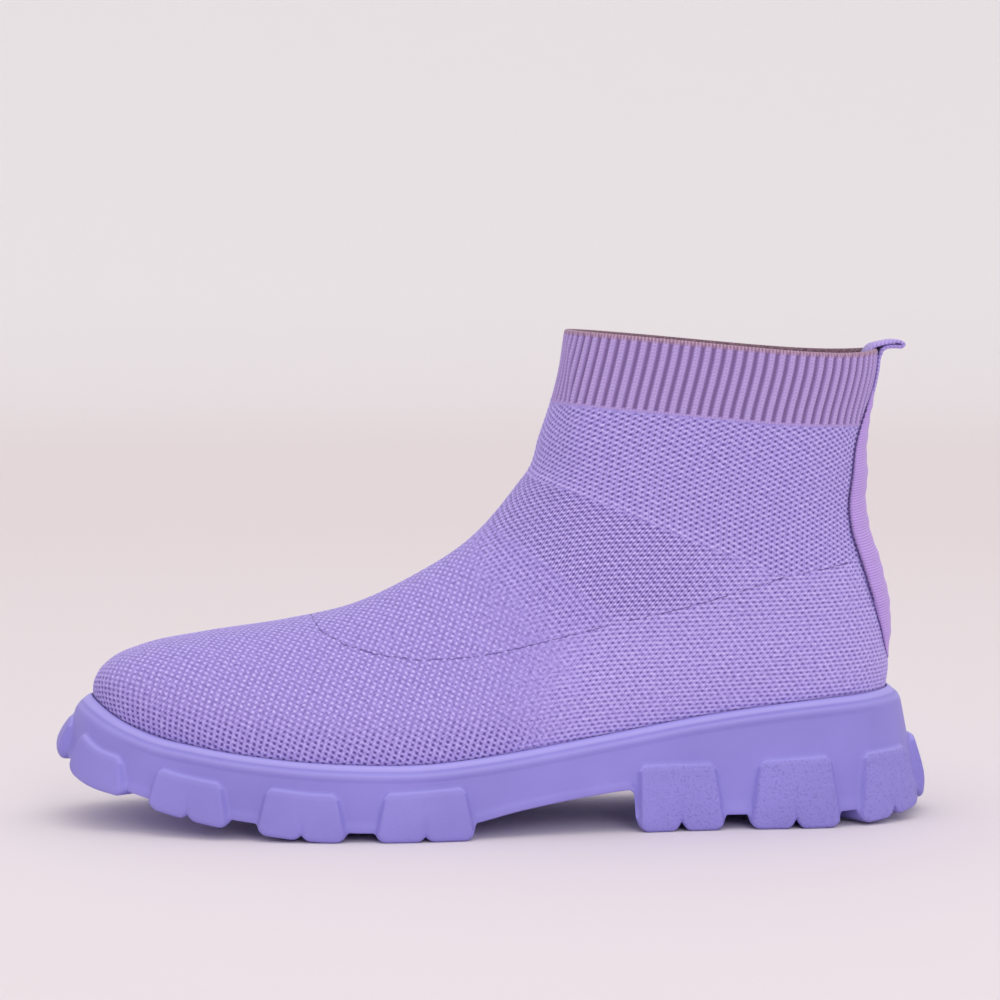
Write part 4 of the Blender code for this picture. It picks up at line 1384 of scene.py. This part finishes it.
def buildPanel():
    across = np.linspace(1.0, -1.0, panel["columns"] + 1)
    tall = panel["top"] - panel["foot"]
    count = int(tall / panel["ribPitch"]) * panel["perRib"]
    heights = np.linspace(panel["foot"], panel["top"], count + 1)
    slanted = heights[:, None] + panel["ribSlant"] * np.abs(across)[None, :]
    wave = np.sin(2 * np.pi * (slanted - panel["foot"]) / panel["ribPitch"])
    ripple = sum(size * np.sin(heights / length + start) for size, length, start in panel["ripples"])
    outside, inside = [], []
    rounding = 1 - np.abs(across) ** 10
    for height, rib, sway in zip(heights, wave, ripple):
        thin = float(swell((height - panel["foot"]) / panel["feathered"]))
        thin = thin * float(swell((panel["top"] - height) / panel["featheredTop"]))
        lift = (last["gap"] + panel["bulge"] * (1 - across ** 2)) * (0.3 + 0.7 * thin)
        thick = panel["thick"] * (0.12 + 0.88 * thin) + panel["ribHeight"] * rib + sway * thin
        outside.append(panelRow(height, across, lift + rounding * thick))
        inside.append(panelRow(height, across, lift - 0.3))
    rows = [np.concatenate([a, b[-2:0:-1]]) for a, b in zip(outside, inside)]
    points = np.concatenate(rows)
    mesh = makeMesh("heel_panel_elastic", points, outward(points, tubeFaces(len(rows), len(rows[0]))))
    setAttribute(mesh, "rib", np.concatenate([wave, wave[:, -2:0:-1]], axis=1) / 2 + 0.5)
    addPiece("heel_panel_elastic", mesh, panelMaterial(), "heel_panel")
    spots = np.arange(panel["stitchFoot"], panel["stitchTop"], panel["stitchPitch"])
    for name, edge in (("panel_stitch_outer", 0), ("panel_stitch_inner", -1)):
        line, under = [
            np.array([panelRow(h, across, np.full_like(across, last["gap"] + out))[edge] for h in spots])
            for out in (0.15, -0.5)
        ]
        stitchRow(name, line, unit(np.gradient(line, axis=0)), unit(line - under))


buildPanel()

# Pull loop: woven tape folded over the back of the collar
loop = {
    "width": 12.0,
    "thick": 1.2,
    "wrap": 0.6,             # how far the tape's edges lie forward on the round back of the cuff
    "sewn": (148.0, 3.0),    # below this height the tape is sewn to the cuff
    "samples": 130,
    "across": 31,
    "twillPitch": 1.3,
    "twillAcross": 1.5,
    "twillHeight": 0.07,
    "selvedge": 0.12,
    "light": linear(196, 176, 240),
    "dark": linear(150, 128, 206),
}
# station and height of the tape's middle, from inside the collar over the fold and down the back
loopPath = np.array([
    (258.8, 141.0), (259.1, 145.6), (259.9, 148.4), (261.2, 149.8), (263.4, 150.5), (265.8, 151.0),
    (268.2, 151.35), (269.9, 151.1), (270.8, 150.4), (270.1, 149.75), (268.6, 149.75), (266.8, 149.75),
    (265.2, 149.5), (263.9, 148.7), (263.3, 147.2), (263.1, 145.5), (262.9, 143.0), (262.3, 139.5),
    (261.5, 136.0), (260.6, 132.5),
])


def loopMaterial():
    finish = Finish("woven_tape", 0.75, sheen=0.15, specular=0.3)
    rib = finish.attribute("twill")
    fuzz = finish.noise(1800.0, 2.0)
    tone = finish.math("MULTIPLY_ADD", fuzz, 0.35, finish.math("SUBTRACT", rib, 0.17))
    finish.colour(finish.ramp(tone, [(0.1, loop["dark"]), (0.85, loop["light"])]))
    finish.normal(finish.bump(fuzz, 0.0001, 0.4))
    return finish.material


def buildLoop():
    path, _ = curveThrough(loopPath, loop["samples"])
    run = unit(np.gradient(path, axis=0))
    normal = np.stack([-run[:, 1], run[:, 0]], axis=1)
    length = runAlong(path)
    flat = np.linspace(-1.0, 1.0, loop["across"])
    section = [(y, 1.0) for y in flat] + [(y, -1.0) for y in flat[::-1]]
    rows, twill = [], []
    onCuff = before(path[:, 1], loop["sewn"])
    for k in range(loop["samples"]):
        row = []
        for y, face in section:
            edge = math.sqrt(max(0.0, 1 - abs(y) ** 8))
            slant = length[k] / loop["twillPitch"] + abs(y) * loop["width"] / 2 / loop["twillAcross"]
            weave = 0.5 + 0.5 * math.sin(2 * math.pi * slant)
            bead = loop["selvedge"] * math.exp(-((abs(y) - 0.86) / 0.07) ** 2)
            off = face * edge * (loop["thick"] / 2 + loop["twillHeight"] * (weave - 0.5) + bead)
            x = path[k, 0] + normal[k, 0] * off - loop["wrap"] * onCuff[k] * y * y
            row.append((x, y * loop["width"] / 2, path[k, 1] + normal[k, 1] * off))
            twill.append(weave)
        rows.append(row)
    points = np.array(rows).reshape(-1, 3)
    mesh = makeMesh("pull_loop_tape", points, outward(points, tubeFaces(loop["samples"], len(section))))
    setAttribute(mesh, "twill", twill)
    addPiece("pull_loop_tape", mesh, loopMaterial(), "pull_loop")


buildLoop()

# Floor, light and camera
studio = {
    # distance from the boot and colour of the ground: painted light, a little lighter close to the boot
    # against its shade and lighter up the bend and wall, which get less light
    "ground": ((0.1, linear(238, 231, 233)), (0.3, linear(236, 229, 231)), (0.6, linear(236, 228, 229)),
               (1.1, linear(238, 228, 230)), (2.0, linear(242, 233, 234)), (3.0, linear(249, 247, 248))),
    "groundReach": 4.0,
    "floorRadius": 2.4,
    "floorRings": 25,
    "floorBend": 1.2,
    "floorSpokes": 96,
    "wallHeight": 1.5,
    # place, size, power, colour and spread in degrees
    "lights": {
        "overhead": ((0.1, -0.35, 1.7), 1.5, 4.0, (0.96, 0.975, 1.06), 180.0),
        "front_fill": ((0.4, -2.1, 0.95), 1.0, 1.0, (1.0, 0.98, 0.98), 60.0),
    },
    "lightAim": (0, 0, 0.05),
    "world": (1.0, 0.965, 0.975),
    "worldStrength": 0.85,
    "target": (0.00161, 0.00159, 0.101),
    "azimuth": -5.0,
    "elevation": 4.367,
    "distance": 1.1032,
    "lens": 124.5,
}


def buildFloor():
    # a round pale floor that curves up into a low wall, so that every view has the same plain ground
    radius, bend, spokes = studio["floorRadius"], studio["floorBend"], studio["floorSpokes"]
    profile = [(r, 0.0) for r in np.linspace(0.0, radius, studio["floorRings"])]
    for angle in np.radians(np.arange(3, 91, 3)):
        profile.append((radius + bend * math.sin(angle), bend * (1 - math.cos(angle))))
    profile.append((radius + bend, studio["wallHeight"]))
    around = 2 * np.pi * np.arange(spokes) / spokes
    points = [(r * math.cos(a), r * math.sin(a), z) for r, z in profile for a in around]
    mesh = bpy.data.meshes.new("floor")
    mesh.from_pydata(points, [], gridFaces(len(profile), spokes, closed=True).tolist())
    mesh.shade_smooth()
    reach = studio["groundReach"]
    far = [(r + 0.4 * z) / reach for r, z in profile]
    setAttribute(mesh, "far", np.repeat(far, spokes))
    finish = Finish("pale_floor", 0.75, specular=0.2)
    paper = finish.noise(6.0, 2.0)
    tone = finish.math("MULTIPLY_ADD", paper, 0.02, finish.attribute("far"))
    # painted light: the ground's colour is graded by distance to even out the boot's shade and the dimmer
    # wall
    finish.colour(finish.ramp(tone, [(distance / reach, colour) for distance, colour in studio["ground"]]))
    mesh.materials.append(finish.material)
    floor = bpy.data.objects.new("floor", mesh)
    bpy.context.scene.collection.objects.link(floor)


def addLight(name, place, size, power, colour, spread):
    light = bpy.data.lights.new(name, "AREA")
    light.shape = "DISK"
    light.size = size
    light.energy = power
    light.color = colour
    light.spread = math.radians(spread)
    lamp = bpy.data.objects.new(name, light)
    lamp.location = place
    lamp.rotation_mode = "QUATERNION"
    lamp.rotation_quaternion = (Vector(studio["lightAim"]) - Vector(place)).to_track_quat("-Z", "Y")
    bpy.context.scene.collection.objects.link(lamp)


def buildStudio():
    buildFloor()
    for name, values in studio["lights"].items():
        addLight(name, *values)
    bpy.context.scene.view_settings.view_transform = "Standard"
    world = bpy.context.scene.world or bpy.data.worlds.new("studio")
    bpy.context.scene.world = world
    world.use_nodes = True
    sky = world.node_tree.nodes["Background"]
    sky.inputs["Color"].default_value = (*studio["world"], 1.0)
    sky.inputs["Strength"].default_value = studio["worldStrength"]
    camera = bpy.data.cameras.new("photo_view")
    camera.lens = studio["lens"]
    camera.sensor_width = 36.0
    a, e = math.radians(studio["azimuth"]), math.radians(studio["elevation"])
    back = Vector((math.sin(a) * math.cos(e), -math.cos(a) * math.cos(e), math.sin(e)))
    eye = bpy.data.objects.new("photo_view", camera)
    eye.location = Vector(studio["target"]) + back * studio["distance"]
    eye.rotation_mode = "QUATERNION"
    eye.rotation_quaternion = (-back).to_track_quat("-Z", "Y")
    bpy.context.scene.collection.objects.link(eye)
    bpy.context.scene.camera = eye


buildStudio()
